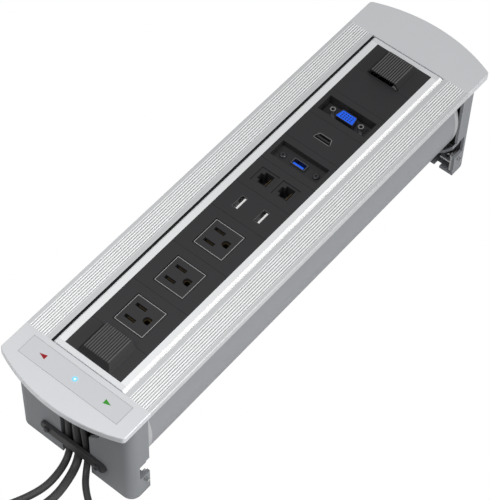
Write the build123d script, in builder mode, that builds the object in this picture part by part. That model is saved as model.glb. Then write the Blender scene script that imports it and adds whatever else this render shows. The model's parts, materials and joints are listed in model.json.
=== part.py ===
"""Motorised desk socket: a drum that turns half round in a flush desk frame.

X runs along the socket, +Y is the side away from the viewer, Z is up. The floor
under the two brackets is z = 0 and the drum turns about the X axis at axis_height.
All sizes are in millimetres. The rest position has the sockets facing up.
"""
from build123d import *
import math
import os

os.makedirs("parts", exist_ok=True)

# Driving dimensions of the frame
frame_width = 120.0
rail_half = 193.0
cover_straight = 28.2
cover_crown = 12.8
top_height = 109.5
flange_depth = 6.0
cover_skin = 3.0
rail_skin = 2.5
casting_wall = 2.5
bracket_depth = 20.2
bracket_inset = 2.66
base_thickness = 2.5

# Driving dimensions of the drum
drum_radius = 56.0
flat_offset = 44.0
drum_clearance = 0.7
drum_half = 187.5
drum_wall = 2.2
cap_thickness = 4.8
panel_width = 54.0
panel_thickness = 2.5
lip_width = 5.5

# Bearings, shafts and screws shared by several pieces
trunnion_radius = 13.0
trunnion_bore = 10.0
bush_wall = 1.95
plate_offset = 10.0
plate_thickness = 3.0
screw_radius = 1.5
screw_head_radius = 2.75
screw_head_height = 2.0
screw_length = 8.0

# Fits and clearances
running_fit = 0.05
piece_gap = 0.15
overrun = 1.0

# Heights and half widths worked out from the driving dimensions
half_width = frame_width / 2
axis_height = top_height - flat_offset
desk_seat = top_height - flange_depth
cover_under = top_height - cover_skin
rail_under = top_height - rail_skin
bracket_half = half_width - bracket_inset
bracket_inner = bracket_half - casting_wall
bracket_end = rail_half + bracket_depth
bracket_inner_end = bracket_end - casting_wall
plate_inner = rail_half + plate_offset
plate_outer = plate_inner + plate_thickness
cap_face = drum_half + cap_thickness
flat_top = axis_height + flat_offset
screw_hole = screw_radius + running_fit


def save(piece, name):
    """Label a finished piece and write it to its file."""
    piece.label = name
    export_step(piece, f"parts/{name}.step")
    print(f"{name}: {len(piece.solids())} solids, {piece.volume / 1000:.2f} cm3")


def block(x0, x1, y0, y1, z0, z1, mode=Mode.ADD):
    """A box between two corners, added to the part being made."""
    with Locations(((x0 + x1) / 2, (y0 + y1) / 2, (z0 + z1) / 2)):
        Box(abs(x1 - x0), abs(y1 - y0), abs(z1 - z0), mode=mode)


def mirrored(piece, plane=Plane.YZ):
    """The same piece on the other side of a plane, by itself."""
    with BuildPart() as other:
        mirror(piece, about=plane)
    return other.part


def chord(radius, height):
    """Half the width of a circle at a height above its centre."""
    return math.sqrt(radius ** 2 - height ** 2)


# Frame: side rails

skirt_wall = 2.5
rail_edge_chamfer = 0.6
rib_count = 7
rib_pitch = 2.05
rib_inset = 11.6
groove_radius = 0.7
groove_rise = 0.25
port_inset = 11.5
port_drop = 3.6
port_radius = 2.6
port_web = 2.4
screw_thread_hole = screw_radius + running_fit
port_height = rail_under - port_drop
port_offset = half_width - port_inset
rib_centre = half_width - rib_inset
sweep_radius = drum_radius + drum_clearance


def make_left_rail():
    """One extruded rail: ribbed top plate, desk skirt and a screw port."""
    top_y = chord(sweep_radius, flat_offset)
    low_y = chord(sweep_radius, flat_offset - rail_skin)
    mid_z = flat_offset - rail_skin / 2
    mid_y = chord(sweep_radius, mid_z)
    with BuildPart() as rail:
        with BuildSketch(Plane.YZ.offset(-rail_half)):
            with BuildLine():
                Polyline(
                    (top_y, top_height),
                    (half_width, top_height),
                    (half_width, desk_seat),
                    (half_width - skirt_wall, desk_seat),
                    (half_width - skirt_wall, rail_under),
                    (low_y, rail_under),
                )
                ThreePointArc((low_y, rail_under), (mid_y, axis_height + mid_z), (top_y, top_height))
            make_face()
            with Locations((port_offset, port_height)):
                Circle(port_radius)
            with Locations((port_offset, port_height + port_drop / 2)):
                Rectangle(port_web, port_drop)
            with Locations((port_offset, port_height)):
                Circle(screw_thread_hole, mode=Mode.SUBTRACT)
            with Locations((rib_centre, top_height + groove_rise)):
                with GridLocations(rib_pitch, 0, rib_count + 1, 1):
                    Circle(groove_radius, mode=Mode.SUBTRACT)
        extrude(amount=2 * rail_half)
        outer_edge = rail.edges().filter_by(Axis.X).group_by(Axis.Z)[-1].sort_by(Axis.Y)[-1]
        chamfer(outer_edge, rail_edge_chamfer)
    return rail.part


left_rail = make_left_rail()
save(left_rail, "left_rail")
save(mirrored(left_rail, Plane.XZ), "right_rail")

# Frame: end covers with the touch strip

cover_corner_radius = 3.5
cover_edge_chamfer = 0.5
inlay_length = 95.5
inlay_width = 18.0
inlay_depth = 1.2
inlay_inset = 4.5
ring_radius = 1.75
ring_bore = 1.0
ring_depth = 0.9
board_thickness = 1.6
board_half_width = 42.0
board_inset = 3.0
cover_straight_end = rail_half + cover_straight
cover_apex = cover_straight_end + cover_crown
inlay_centre = rail_half + inlay_inset + inlay_width / 2


def cover_outline(inset, height):
    """The plan of an end cover, drawn in by an inset, on a plane at a height."""
    with BuildSketch(Plane.XY.offset(height)) as outline:
        with BuildLine():
            Polyline(
                (cover_straight_end - inset, -half_width + inset),
                (rail_half, -half_width + inset),
                (rail_half, half_width - inset),
                (cover_straight_end - inset, half_width - inset),
            )
            ThreePointArc(
                (cover_straight_end - inset, half_width - inset),
                (cover_apex - inset, 0),
                (cover_straight_end - inset, -half_width + inset),
            )
        make_face()
        fillet(outline.vertices().group_by(Axis.X)[-1], cover_corner_radius)
    return outline.sketch


def make_far_end_plate():
    """A skirted cover over one bracket, open underneath and towards the drum."""
    with BuildPart() as cover:
        extrude(cover_outline(0, desk_seat), amount=flange_depth)
        top_edges = cover.faces().sort_by(Axis.Z)[-1].edges()
        chamfer(top_edges.sort_by(Axis.X)[1:], cover_edge_chamfer)
        extrude(cover_outline(skirt_wall, desk_seat), amount=flange_depth - cover_skin, mode=Mode.SUBTRACT)
        extrude(cover_outline(skirt_wall, desk_seat - overrun), amount=overrun, mode=Mode.SUBTRACT)
    return cover.part


far_end_plate = make_far_end_plate()
save(far_end_plate, "far_end_plate")

with BuildPart() as near_end_plate:
    mirror(far_end_plate, about=Plane.YZ)
    block(
        -inlay_centre - inlay_width / 2,
        -inlay_centre + inlay_width / 2,
        -inlay_length / 2,
        inlay_length / 2,
        top_height - inlay_depth,
        top_height + overrun,
        mode=Mode.SUBTRACT,
    )
save(near_end_plate.part, "near_end_plate")

with BuildPart() as touch_inlay:
    block(
        -inlay_centre - inlay_width / 2 + piece_gap,
        -inlay_centre + inlay_width / 2 - piece_gap,
        -inlay_length / 2 + piece_gap,
        inlay_length / 2 - piece_gap,
        top_height - inlay_depth,
        top_height,
    )
    with BuildSketch(Plane.XY.offset(top_height)):
        with Locations((-inlay_centre, 0)):
            Circle(ring_radius + running_fit)
            Circle(ring_bore - running_fit, mode=Mode.SUBTRACT)
    extrude(amount=-ring_depth, mode=Mode.SUBTRACT)
save(touch_inlay.part, "touch_inlay")

with BuildPart() as status_light_ring:
    with BuildSketch(Plane.XY.offset(top_height)):
        with Locations((-inlay_centre, 0)):
            Circle(ring_radius)
            Circle(ring_bore, mode=Mode.SUBTRACT)
    extrude(amount=-ring_depth)
save(status_light_ring.part, "status_light_ring")

with BuildPart() as touch_board:
    block(
        -bracket_inner_end + piece_gap,
        -rail_half - board_inset,
        -board_half_width,
        board_half_width,
        cover_under - board_thickness,
        cover_under,
    )
save(touch_board.part, "touch_board")

# Frame: the two brackets that stand in the desk cut-out

bracket_corner_radius = 9.0
notch_depth = 10.7
notch_low = 23.5
notch_high = 42.6
trough_inner = 61.0
trough_thickness = 2.0
trough_sink = 0.5
gusset_offset = 30.0
gusset_thickness = 2.0
lug_thickness = 3.0
lug_width = 10.34
lug_low = 99.0
seat_lug_depth = 4.0
seat_lug_width = 7.84
seat_lug_height = 8.0
seat_screw_inset = 4.34
seat_heights = (50.0, 92.0)
base_slot_low = 39.0
base_slot_high = 44.0
base_slot_depth = 5.0
keyhole_radius = 20.0
channel_low = -16.0
channel_high = 13.0
wing_width = 11.0
wing_base = 53.0
wing_top = 85.5
jamb_thickness = 2.5
jamb_top = 44.0
bar_screw_offset = 25.2
bar_height = 23.1
clamp_width = 8.8
clamp_gap = 0.8
clamp_screw_height = 19.0
clamp_centre = rail_half + clamp_gap + clamp_width / 2
seat_screw_y = bracket_inner - seat_screw_inset
lug_inner_y = bracket_inner - lug_width


def bracket_walls(inset, height, depth):
    """The filled plan of a bracket, drawn in by an inset, as a solid."""
    with BuildPart() as filled:
        with BuildSketch(Plane.XY.offset(height)):
            with BuildLine():
                Polyline(
                    (rail_half - (overrun if inset else 0), -bracket_half + inset),
                    (bracket_end - inset, -bracket_half + inset),
                    (bracket_end - inset, bracket_half - inset),
                    (rail_half - (overrun if inset else 0), bracket_half - inset),
                    close=True,
                )
            make_face()
        extrude(amount=depth)
        corners = filled.edges().filter_by(Axis.Z).group_by(Axis.X)[-1]
        fillet(corners, bracket_corner_radius - inset)
    return filled.part


def make_far_bracket():
    """A moulded cradle: end wall, side walls, base, trough under the drum, lugs."""
    with BuildPart() as bracket:
        add(bracket_walls(0, 0, cover_under))
        add(bracket_walls(casting_wall, base_thickness, cover_under), mode=Mode.SUBTRACT)
        # Trough wall, concentric with the drum, kept inside the bracket
        with BuildSketch(Plane.YZ.offset(rail_half)):
            with Locations((0, axis_height)):
                Circle(axis_height - base_thickness + trough_sink)
                Circle(trough_inner, mode=Mode.SUBTRACT)
            with Locations((0, cover_under / 2)):
                Rectangle(2 * bracket_inner + casting_wall, cover_under, mode=Mode.INTERSECT)
        extrude(amount=plate_offset)
        for side in (-1, 1):
            gusset_foot = axis_height - chord(trough_inner + trough_thickness, gusset_offset)
            block(
                rail_half,
                plate_inner,
                side * gusset_offset - gusset_thickness / 2,
                side * gusset_offset + gusset_thickness / 2,
                base_thickness / 2,
                gusset_foot,
            )
            block(
                rail_half,
                rail_half + lug_thickness,
                side * lug_inner_y,
                side * (bracket_inner + casting_wall / 2),
                lug_low,
                cover_under,
            )
            for seat in seat_heights:
                block(
                    plate_inner - seat_lug_depth,
                    plate_inner,
                    side * (bracket_inner - seat_lug_width),
                    side * (bracket_inner + casting_wall / 2),
                    seat - seat_lug_height / 2,
                    seat + seat_lug_height / 2,
                )
            # Room for the rail screw's head in the trough wall
            with BuildSketch(Plane.YZ.offset(rail_half + lug_thickness)):
                with Locations((side * port_offset, port_height)):
                    Circle(screw_head_radius + piece_gap)
            extrude(amount=plate_offset - lug_thickness, mode=Mode.SUBTRACT)
        # Jambs beside the cable channel
        for edge, way in ((channel_low, -1), (channel_high, 1)):
            block(
                plate_outer,
                bracket_inner_end + casting_wall / 2,
                edge,
                edge + way * jamb_thickness,
                base_thickness / 2,
                jamb_top,
            )
        # Keyhole and cable channel through the end wall and the base
        with BuildSketch(Plane.YZ.offset(bracket_inner_end - overrun)):
            with Locations((0, axis_height)):
                Circle(keyhole_radius)
            with BuildLine():
                Polyline(
                    (channel_low, -overrun),
                    (channel_high, -overrun),
                    (channel_high, axis_height),
                    (0, wing_top),
                    (channel_low - wing_width, wing_top),
                    (channel_low - wing_width, wing_base + wing_width),
                    (channel_low, wing_base),
                    close=True,
                )
            make_face()
        extrude(amount=casting_wall + 2 * overrun, mode=Mode.SUBTRACT)
        block(
            plate_outer,
            bracket_end + overrun,
            channel_low,
            channel_high,
            -overrun,
            base_thickness + overrun,
            mode=Mode.SUBTRACT,
        )
        for side in (-1, 1):
            # Notch in the side wall and slot in the base
            block(
                rail_half - overrun,
                rail_half + notch_depth,
                side * (bracket_inner - overrun),
                side * (bracket_half + overrun),
                notch_low,
                notch_high,
                mode=Mode.SUBTRACT,
            )
            block(
                rail_half - overrun,
                rail_half + base_slot_depth,
                side * base_slot_low,
                side * base_slot_high,
                -overrun,
                base_thickness + overrun,
                mode=Mode.SUBTRACT,
            )
            # Screw holes: rail lug, bearing plate lugs, clamp and cable bar
            with Locations(Plane.YZ.offset(rail_half + lug_thickness)):
                with Locations((side * port_offset, port_height)):
                    Hole(screw_hole, depth=2 * lug_thickness)
            with Locations(Plane.YZ.offset(plate_inner)):
                with Locations(*[(side * seat_screw_y, seat) for seat in seat_heights]):
                    Hole(screw_hole, depth=seat_lug_depth + overrun)
            with Locations(Plane.YZ.offset(bracket_end)):
                with Locations((side * bar_screw_offset, bar_height)):
                    Hole(screw_hole, depth=2 * casting_wall)
            with Locations(Plane.XZ.offset(-side * bracket_half)):
                with Locations((clamp_centre, clamp_screw_height)):
                    Cylinder(screw_hole, 4 * casting_wall, mode=Mode.SUBTRACT)
    return bracket.part


far_bracket = make_far_bracket()
save(far_bracket, "far_bracket")
save(mirrored(far_bracket), "near_bracket")

# Frame: bearing plates and their bushes

plate_side_gap = 0.54
plate_lift = 0.2
plate_corner_radius = 3.0
bush_outer_radius = trunnion_radius + running_fit + bush_wall
board_under = cover_under - board_thickness


def make_far_bearing_plate():
    """The flat black plate that holds a bush in the middle of a bracket."""
    plate_low = base_thickness + plate_lift
    plate_high = board_under - plate_lift
    with BuildPart() as plate:
        with BuildSketch(Plane.YZ.offset(plate_inner)):
            with Locations((0, (plate_low + plate_high) / 2)):
                RectangleRounded(
                    2 * (bracket_inner - plate_side_gap), plate_high - plate_low, plate_corner_radius
                )
            with Locations((0, axis_height)):
                Circle(bush_outer_radius + running_fit, mode=Mode.SUBTRACT)
            with Locations(*[(side * seat_screw_y, seat) for side in (-1, 1) for seat in seat_heights]):
                Circle(screw_hole, mode=Mode.SUBTRACT)
        extrude(amount=plate_thickness)
    return plate.part


far_bearing_plate = make_far_bearing_plate()
save(far_bearing_plate, "far_bearing_plate")
save(mirrored(far_bearing_plate), "near_bearing_plate")

with BuildPart() as bearing_bushes:
    with BuildSketch(Plane.YZ.offset(plate_inner)):
        with Locations((0, axis_height)):
            Circle(bush_outer_radius)
            Circle(trunnion_radius + running_fit, mode=Mode.SUBTRACT)
    extrude(amount=plate_thickness)
    mirror(about=Plane.YZ)
save(bearing_bushes.part, "bearing_bushes")

# Frame: desk clamps and the bar over the cables

clamp_steel = 1.8
clamp_seat_gap = 0.24
clamp_low = 2.8
clamp_high = 22.6
shelf_height = 13.2
clamp_bolt_hole = 2.1
clamp_shelf_reach = 11.6
clamp_bolt_reach = 7.1
clamp_leg_y = bracket_inner - clamp_seat_gap
shelf_inner_y = clamp_leg_y - clamp_shelf_reach
clamp_bolt_y = clamp_leg_y - clamp_bolt_reach

with BuildPart() as desk_clamps:
    with BuildSketch(Plane.YZ.offset(clamp_centre - clamp_width / 2)):
        with BuildLine():
            Polyline(
                (clamp_leg_y, clamp_low),
                (clamp_leg_y, clamp_high),
                (clamp_leg_y - clamp_steel, clamp_high),
                (clamp_leg_y - clamp_steel, shelf_height + clamp_steel),
                (shelf_inner_y, shelf_height + clamp_steel),
                (shelf_inner_y, shelf_height),
                (clamp_leg_y - clamp_steel, shelf_height),
                (clamp_leg_y - clamp_steel, clamp_low),
                close=True,
            )
        make_face()
    extrude(amount=clamp_width)
    with Locations((clamp_centre, clamp_bolt_y, shelf_height)):
        Cylinder(clamp_bolt_hole, 4 * clamp_steel, mode=Mode.SUBTRACT)
    with Locations(Plane.XZ.offset(-clamp_leg_y)):
        with Locations((clamp_centre, clamp_screw_height)):
            Cylinder(screw_hole, 4 * clamp_steel, mode=Mode.SUBTRACT)
    mirror(about=Plane.XZ)
    mirror(about=Plane.YZ)
save(desk_clamps.part, "desk_clamps")

bar_half_length = 32.5
bar_width = 11.0
bar_thickness = 3.0

with BuildPart() as cable_clamp_bar:
    with BuildSketch(Plane.YZ.offset(-bracket_end - bar_thickness)):
        with Locations((0, bar_height)):
            SlotOverall(2 * bar_half_length, bar_width)
            with GridLocations(2 * bar_screw_offset, 0, 2, 1):
                Circle(screw_hole, mode=Mode.SUBTRACT)
    extrude(amount=bar_thickness)
    outer_rim = cable_clamp_bar.faces().sort_by(Axis.X)[0].outer_wire().edges()
    chamfer(outer_rim, rail_edge_chamfer)
save(cable_clamp_bar.part, "cable_clamp_bar")

# Screws: a pan head with a plain shank, all of one kind

head_edge = 0.5
drive_radius = 1.1
drive_depth = 1.0


def make_screw():
    """A pan-head screw along +X, with the underside of its head at the origin."""
    with BuildPart() as screw:
        with BuildSketch(Plane.YZ):
            Circle(screw_head_radius)
        extrude(amount=-screw_head_height)
        with BuildSketch(Plane.YZ):
            Circle(screw_radius)
        extrude(amount=screw_length)
        chamfer(screw.edges().group_by(Axis.X)[0], head_edge)
        with BuildSketch(Plane.YZ.offset(-screw_head_height)):
            RegularPolygon(drive_radius, 6)
        extrude(amount=drive_depth, mode=Mode.SUBTRACT)
    return screw.part


screw = make_screw()


def screws(places):
    """One screw at each place; a place is a point and the way the shank points."""
    with BuildPart() as group:
        for point, way in places:
            across = (0, 0, 1) if way[2] == 0 else (1, 0, 0)
            frame = Plane(origin=point, x_dir=across, z_dir=way)
            turned = frame.location * Location((0, 0, 0), (0, -90, 0))
            add(screw.moved(turned))
    return group.part


frame_screw_places = []
for end in (-1, 1):
    for side in (-1, 1):
        rail_point = (end * (rail_half + lug_thickness), side * port_offset, port_height)
        frame_screw_places.append((rail_point, (-end, 0, 0)))
        for seat in seat_heights:
            seat_point = (end * plate_outer, side * seat_screw_y, seat)
            frame_screw_places.append((seat_point, (-end, 0, 0)))
save(screws(frame_screw_places), "frame_screws")

clamp_screw_places = [
    ((end * clamp_centre, side * (clamp_leg_y - clamp_steel), clamp_screw_height), (0, side, 0))
    for end in (-1, 1)
    for side in (-1, 1)
]
save(screws(clamp_screw_places), "desk_clamp_screws")

bar_screw_places = [
    ((-bracket_end - bar_thickness, side * bar_screw_offset, bar_height), (1, 0, 0)) for side in (-1, 1)
]
save(screws(bar_screw_places), "clamp_bar_screws")

# Drive: the drum's motor rolls its pinion round a gear that is fixed to the frame

gear_module = 0.8
fixed_gear_teeth = 45
pinion_teeth = 15
pressure_angle = 20.0
gear_backlash = 0.12
gear_width = 6.0
gear_plate_gap = 1.0
pinion_overlap = 1.0
fixed_gear_bore = 13.6
gear_hub_radius = 15.8
pinion_shaft_radius = 3.0
pinion_tip_margin = 0.2
gear_centres = gear_module * (fixed_gear_teeth + pinion_teeth) / 2
root_clearance_share = 0.25
gear_outer_x = plate_inner - gear_plate_gap


def gear_outline(teeth, first_angle, height_x):
    """Involute teeth with arc flanks, one tooth centred at first_angle in degrees."""
    pitch_r = gear_module * teeth / 2
    base_r = pitch_r * math.cos(math.radians(pressure_angle))
    tip_r = pitch_r + gear_module
    root_r = pitch_r - gear_module * (1 + root_clearance_share)
    half_tooth = math.pi / (2 * teeth) - gear_backlash / (4 * pitch_r)
    low_r = max(base_r, root_r)

    def flank_angle(radius):
        """Half of the tooth's angle at a radius, from the involute of the base circle."""
        pressure = math.acos(min(1, base_r / radius))
        at_pitch = math.radians(pressure_angle)
        return half_tooth + (math.tan(at_pitch) - at_pitch) - (math.tan(pressure) - pressure)

    def at(radius, angle):
        return (radius * math.cos(angle), radius * math.sin(angle))

    with BuildSketch(Plane.YZ.offset(height_x)) as outline:
        Circle(root_r)
        mid_r = (low_r + tip_r) / 2
        inner_r = root_r - gear_module / 4
        for tooth in range(teeth):
            centre = math.radians(first_angle) + 2 * math.pi * tooth / teeth
            low, mid, tip = flank_angle(low_r), flank_angle(mid_r), flank_angle(tip_r)
            with BuildLine():
                ThreePointArc(at(low_r, centre - low), at(mid_r, centre - mid), at(tip_r, centre - tip))
                ThreePointArc(at(tip_r, centre - tip), at(tip_r, centre), at(tip_r, centre + tip))
                ThreePointArc(at(tip_r, centre + tip), at(mid_r, centre + mid), at(low_r, centre + low))
                Polyline(
                    at(low_r, centre + low),
                    at(inner_r, centre + low),
                    at(inner_r, centre - low),
                    at(low_r, centre - low),
                )
            make_face()
    return outline.sketch


with BuildPart() as fixed_gear:
    ring_profile = gear_outline(fixed_gear_teeth, -90, gear_outer_x - gear_width)
    extrude(ring_profile.moved(Location((0, 0, axis_height))), amount=gear_width)
    with BuildSketch(Plane.YZ.offset(gear_outer_x)):
        with Locations((0, axis_height)):
            Circle(gear_hub_radius)
    extrude(amount=gear_plate_gap)
    with BuildSketch(Plane.YZ.offset(gear_outer_x - gear_width)):
        with Locations((0, axis_height)):
            Circle(fixed_gear_bore)
    extrude(amount=gear_width + gear_plate_gap, mode=Mode.SUBTRACT)
save(fixed_gear.part, "fixed_gear")

pinion_height = axis_height - gear_centres
shaft_inner_x = drum_half - 15.5
pinion_gap_angle = 90 + 180 / pinion_teeth

with BuildPart() as motor_pinion:
    pinion_profile = gear_outline(pinion_teeth, pinion_gap_angle, gear_outer_x - gear_width)
    extrude(pinion_profile.moved(Location((0, 0, pinion_height))), amount=gear_width - pinion_tip_margin)
    with BuildSketch(Plane.YZ.offset(shaft_inner_x)):
        with Locations((0, pinion_height)):
            Circle(pinion_shaft_radius)
    extrude(amount=gear_outer_x - shaft_inner_x)
save(motor_pinion.part, "motor_pinion")

# Frame: limit switches that the far end cap's peg touches at both ends of the turn

peg_offset = 38.0
peg_radius = 2.0
peg_length = 7.7
switch_length = 12.0
switch_height = 6.2
switch_depth = 6.0
switch_gap = 0.3

with BuildPart() as limit_switches:
    for side in (-1, 1):
        block(
            plate_inner - switch_depth,
            plate_inner,
            side * peg_offset - switch_length / 2,
            side * peg_offset + switch_length / 2,
            axis_height - peg_radius - switch_gap - switch_height,
            axis_height - peg_radius - switch_gap,
        )
save(limit_switches.part, "limit_switches")

# Drum: the extruded shell

bevel_drop = 1.6
ledge_width = 2.4
ledge_thickness = 2.5
drum_port_depth = 5.0
drum_port_radius = 3.2
drum_port_degrees = 22.0
drum_port_circle = drum_radius - drum_port_depth
bevel_start = panel_width / 2 + lip_width
bevel_end = chord(drum_radius, flat_offset - bevel_drop)
ledge_top = flat_top - panel_thickness
ledge_inner = panel_width / 2 - ledge_width
port_angles = (drum_port_degrees, 180 - drum_port_degrees, 180 + drum_port_degrees, -drum_port_degrees)
port_points = [
    (
        drum_port_circle * math.cos(math.radians(angle)),
        axis_height + drum_port_circle * math.sin(math.radians(angle)),
    )
    for angle in port_angles
]


def draw_drum_outline():
    """The round section with two flats and bevelled lips, in the sketch being drawn."""
    with Locations((0, axis_height)):
        Circle(drum_radius)
        Rectangle(2 * drum_radius, 2 * flat_offset, mode=Mode.INTERSECT)
    for side in (-1, 1):
        Polygon(
            (side * bevel_start, flat_top),
            (side * bevel_end, flat_top - bevel_drop),
            (side * (bevel_end + overrun), flat_top - bevel_drop),
            (side * (bevel_end + overrun), flat_top + overrun),
            (side * bevel_start, flat_top + overrun),
            align=None,
            mode=Mode.SUBTRACT,
        )


with BuildPart() as drum_shell:
    with BuildSketch(Plane.YZ.offset(-drum_half)):
        draw_drum_outline()
        with BuildSketch(mode=Mode.PRIVATE) as cavity:
            with Locations((0, axis_height)):
                Circle(drum_radius - drum_wall)
                Rectangle(2 * drum_radius, 2 * (flat_offset - drum_wall), mode=Mode.INTERSECT)
        add(cavity.sketch, mode=Mode.SUBTRACT)
        mid_wall = drum_radius - drum_wall / 2
        ledge_low = flat_offset - panel_thickness - ledge_thickness
        skin_mid = flat_offset - drum_wall / 2
        for side in (-1, 1):
            Polygon(
                (side * ledge_inner, axis_height + ledge_low),
                (side * chord(mid_wall, ledge_low), axis_height + ledge_low),
                (side * chord(mid_wall, skin_mid), axis_height + skin_mid),
                (side * ledge_inner, axis_height + skin_mid),
                align=None,
            )
        with Locations((0, (ledge_top + flat_top + overrun) / 2)):
            Rectangle(panel_width, flat_top + overrun - ledge_top, mode=Mode.SUBTRACT)
        with Locations((0, axis_height + (ledge_low + flat_offset) / 2)):
            Rectangle(2 * ledge_inner, flat_offset - ledge_low + overrun, mode=Mode.SUBTRACT)
        with Locations(*port_points):
            Circle(drum_port_radius)
        with Locations(*port_points):
            Circle(screw_hole, mode=Mode.SUBTRACT)
    extrude(amount=2 * drum_half)
save(drum_shell.part, "drum_shell")

# Drum: end caps, their screws, trunnions and the gear motor

cap_edge_chamfer = 0.5
head_sink = 0.2
flange_radius = 19.0
flange_thickness = 2.5
motor_radius = 16.0
motor_length = 60.0
motor_edge = 1.5
motor_shaft_hole = pinion_shaft_radius + running_fit
cap_hole_margin = 0.5
head_seat = cap_face - screw_head_height - head_sink


def make_end_cap(shaft_hole, peg):
    """The cap on the drum's far end: trunnion hole, sunk screw holes and extras."""
    with BuildPart() as cap:
        with BuildSketch(Plane.YZ.offset(drum_half)):
            draw_drum_outline()
            with Locations((0, axis_height)):
                Circle(trunnion_radius + running_fit, mode=Mode.SUBTRACT)
            with Locations(*port_points):
                Circle(screw_hole, mode=Mode.SUBTRACT)
            if shaft_hole:
                with Locations((0, pinion_height)):
                    Circle(pinion_shaft_radius + cap_hole_margin, mode=Mode.SUBTRACT)
        extrude(amount=cap_thickness)
        rim = cap.faces().sort_by(Axis.X)[-1].outer_wire().edges()
        chamfer(rim, cap_edge_chamfer)
        with BuildSketch(Plane.YZ.offset(head_seat)):
            with Locations(*port_points):
                Circle(screw_head_radius + piece_gap)
        extrude(amount=cap_face - head_seat, mode=Mode.SUBTRACT)
        if peg:
            with BuildSketch(Plane.YZ.offset(cap_face)):
                with Locations((peg_offset, axis_height)):
                    Circle(peg_radius)
            extrude(amount=peg_length)
    return cap.part


save(make_end_cap(True, True), "far_end_cap")
save(mirrored(make_end_cap(False, False)), "near_end_cap")

cap_screw_places = [
    ((end * head_seat, y, z), (-end, 0, 0)) for end in (-1, 1) for y, z in port_points
]
save(screws(cap_screw_places), "end_cap_screws")

with BuildPart() as trunnions:
    with BuildSketch(Plane.YZ.offset(drum_half)):
        with Locations((0, axis_height)):
            Circle(trunnion_radius)
    extrude(amount=plate_outer - drum_half)
    with BuildSketch(Plane.YZ.offset(cap_face)):
        with Locations((0, axis_height)):
            Circle(flange_radius)
    extrude(amount=flange_thickness)
    with BuildSketch(Plane.YZ.offset(drum_half)):
        with Locations((0, axis_height)):
            Circle(trunnion_bore)
    extrude(amount=plate_outer - drum_half, mode=Mode.SUBTRACT)
    mirror(about=Plane.YZ)
save(trunnions.part, "trunnions")

with BuildPart() as gear_motor:
    with BuildSketch(Plane.YZ.offset(drum_half - motor_length)):
        with Locations((0, pinion_height)):
            Circle(motor_radius)
    extrude(amount=motor_length)
    chamfer(gear_motor.edges().group_by(Axis.X)[0], motor_edge)
    with BuildSketch(Plane.YZ.offset(shaft_inner_x - overrun)):
        with Locations((0, pinion_height)):
            Circle(motor_shaft_hole)
    extrude(amount=drum_half - shaft_inner_x + overrun, mode=Mode.SUBTRACT)
save(gear_motor.part, "gear_motor")

# Panel: eleven module plates between the end caps

outlet_pitch = 45.0
outlet_count = 3
module_pitch = 30.0
near_hood_length = 29.5
seam = 0.2
outlet_starts = [-drum_half + near_hood_length + outlet_pitch * n for n in range(outlet_count)]
module_starts = [outlet_starts[-1] + outlet_pitch + module_pitch * n for n in range(7)]
usb_x, network_x, usb3_x, hdmi_x, vga_x, blank_x = [start + module_pitch / 2 for start in module_starts[:6]]
far_hood_start = module_starts[6]
outlet_xs = [start + outlet_pitch / 2 for start in outlet_starts]
panel_half = panel_width / 2 - piece_gap


def panel_block(x0, x1):
    """The plain plate of a module from one seam to the next."""
    block(x0 + seam / 2, x1 - seam / 2, -panel_half, panel_half, ledge_top, flat_top)


# Panel: ribbed hoods at both ends

hood_mouth = 158.5
hood_top_end = 183.0
hood_slope = 4.2
hood_top_half = 11.5
hood_flare = 4.5
hood_height = 6.5
hood_wall = 1.6
hood_side_wall = 2.0
hood_ribs = 11
hood_rib_pitch = 2.05
hood_groove_radius = 0.75
hood_groove_rise = 0.2


def make_hood_plate(plate_start):
    """A module plate with a ribbed hood whose mouth faces the middle of the panel."""
    hood_top = flat_top + hood_height
    base_half = hood_top_half + hood_flare
    base_end = hood_top_end + hood_slope
    with BuildPart() as outer:
        with BuildSketch(Plane.XY.offset(flat_top)):
            with Locations(((hood_mouth + base_end) / 2, 0)):
                Rectangle(base_end - hood_mouth, 2 * base_half)
        with BuildSketch(Plane.XY.offset(hood_top)):
            with Locations(((hood_mouth + hood_top_end) / 2, 0)):
                Rectangle(hood_top_end - hood_mouth, 2 * hood_top_half)
        loft(ruled=True)
    hollow_start = hood_mouth - overrun
    hollow_top_end = hood_top_end - hood_side_wall
    hollow_end = base_end - hood_side_wall
    with BuildPart() as inner:
        with BuildSketch(Plane.XY.offset(flat_top)):
            with Locations(((hollow_start + hollow_end) / 2, 0)):
                Rectangle(hollow_end - hollow_start, 2 * (base_half - hood_side_wall))
        with BuildSketch(Plane.XY.offset(hood_top - hood_wall)):
            with Locations(((hollow_start + hollow_top_end) / 2, 0)):
                Rectangle(hollow_top_end - hollow_start, 2 * (hood_top_half - hood_side_wall / 2))
        loft(ruled=True)
    with BuildPart() as hood:
        panel_block(plate_start, drum_half)
        add(outer.part)
        add(inner.part, mode=Mode.SUBTRACT)
        block(
            hood_mouth,
            hollow_end,
            -base_half + hood_side_wall,
            base_half - hood_side_wall,
            ledge_top - overrun,
            flat_top,
            mode=Mode.SUBTRACT,
        )
        with BuildSketch(Plane.YZ.offset(hood_mouth - overrun)):
            with Locations((0, hood_top + hood_groove_rise)):
                with GridLocations(hood_rib_pitch, 0, hood_ribs, 1):
                    Circle(hood_groove_radius)
        extrude(amount=hood_top_end - hood_mouth + 2 * overrun, mode=Mode.SUBTRACT)
    return hood.part


save(make_hood_plate(far_hood_start), "far_hood_plate")
save(mirrored(make_hood_plate(drum_half - near_hood_length)), "near_hood_plate")

# Panel: three power outlets

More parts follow.
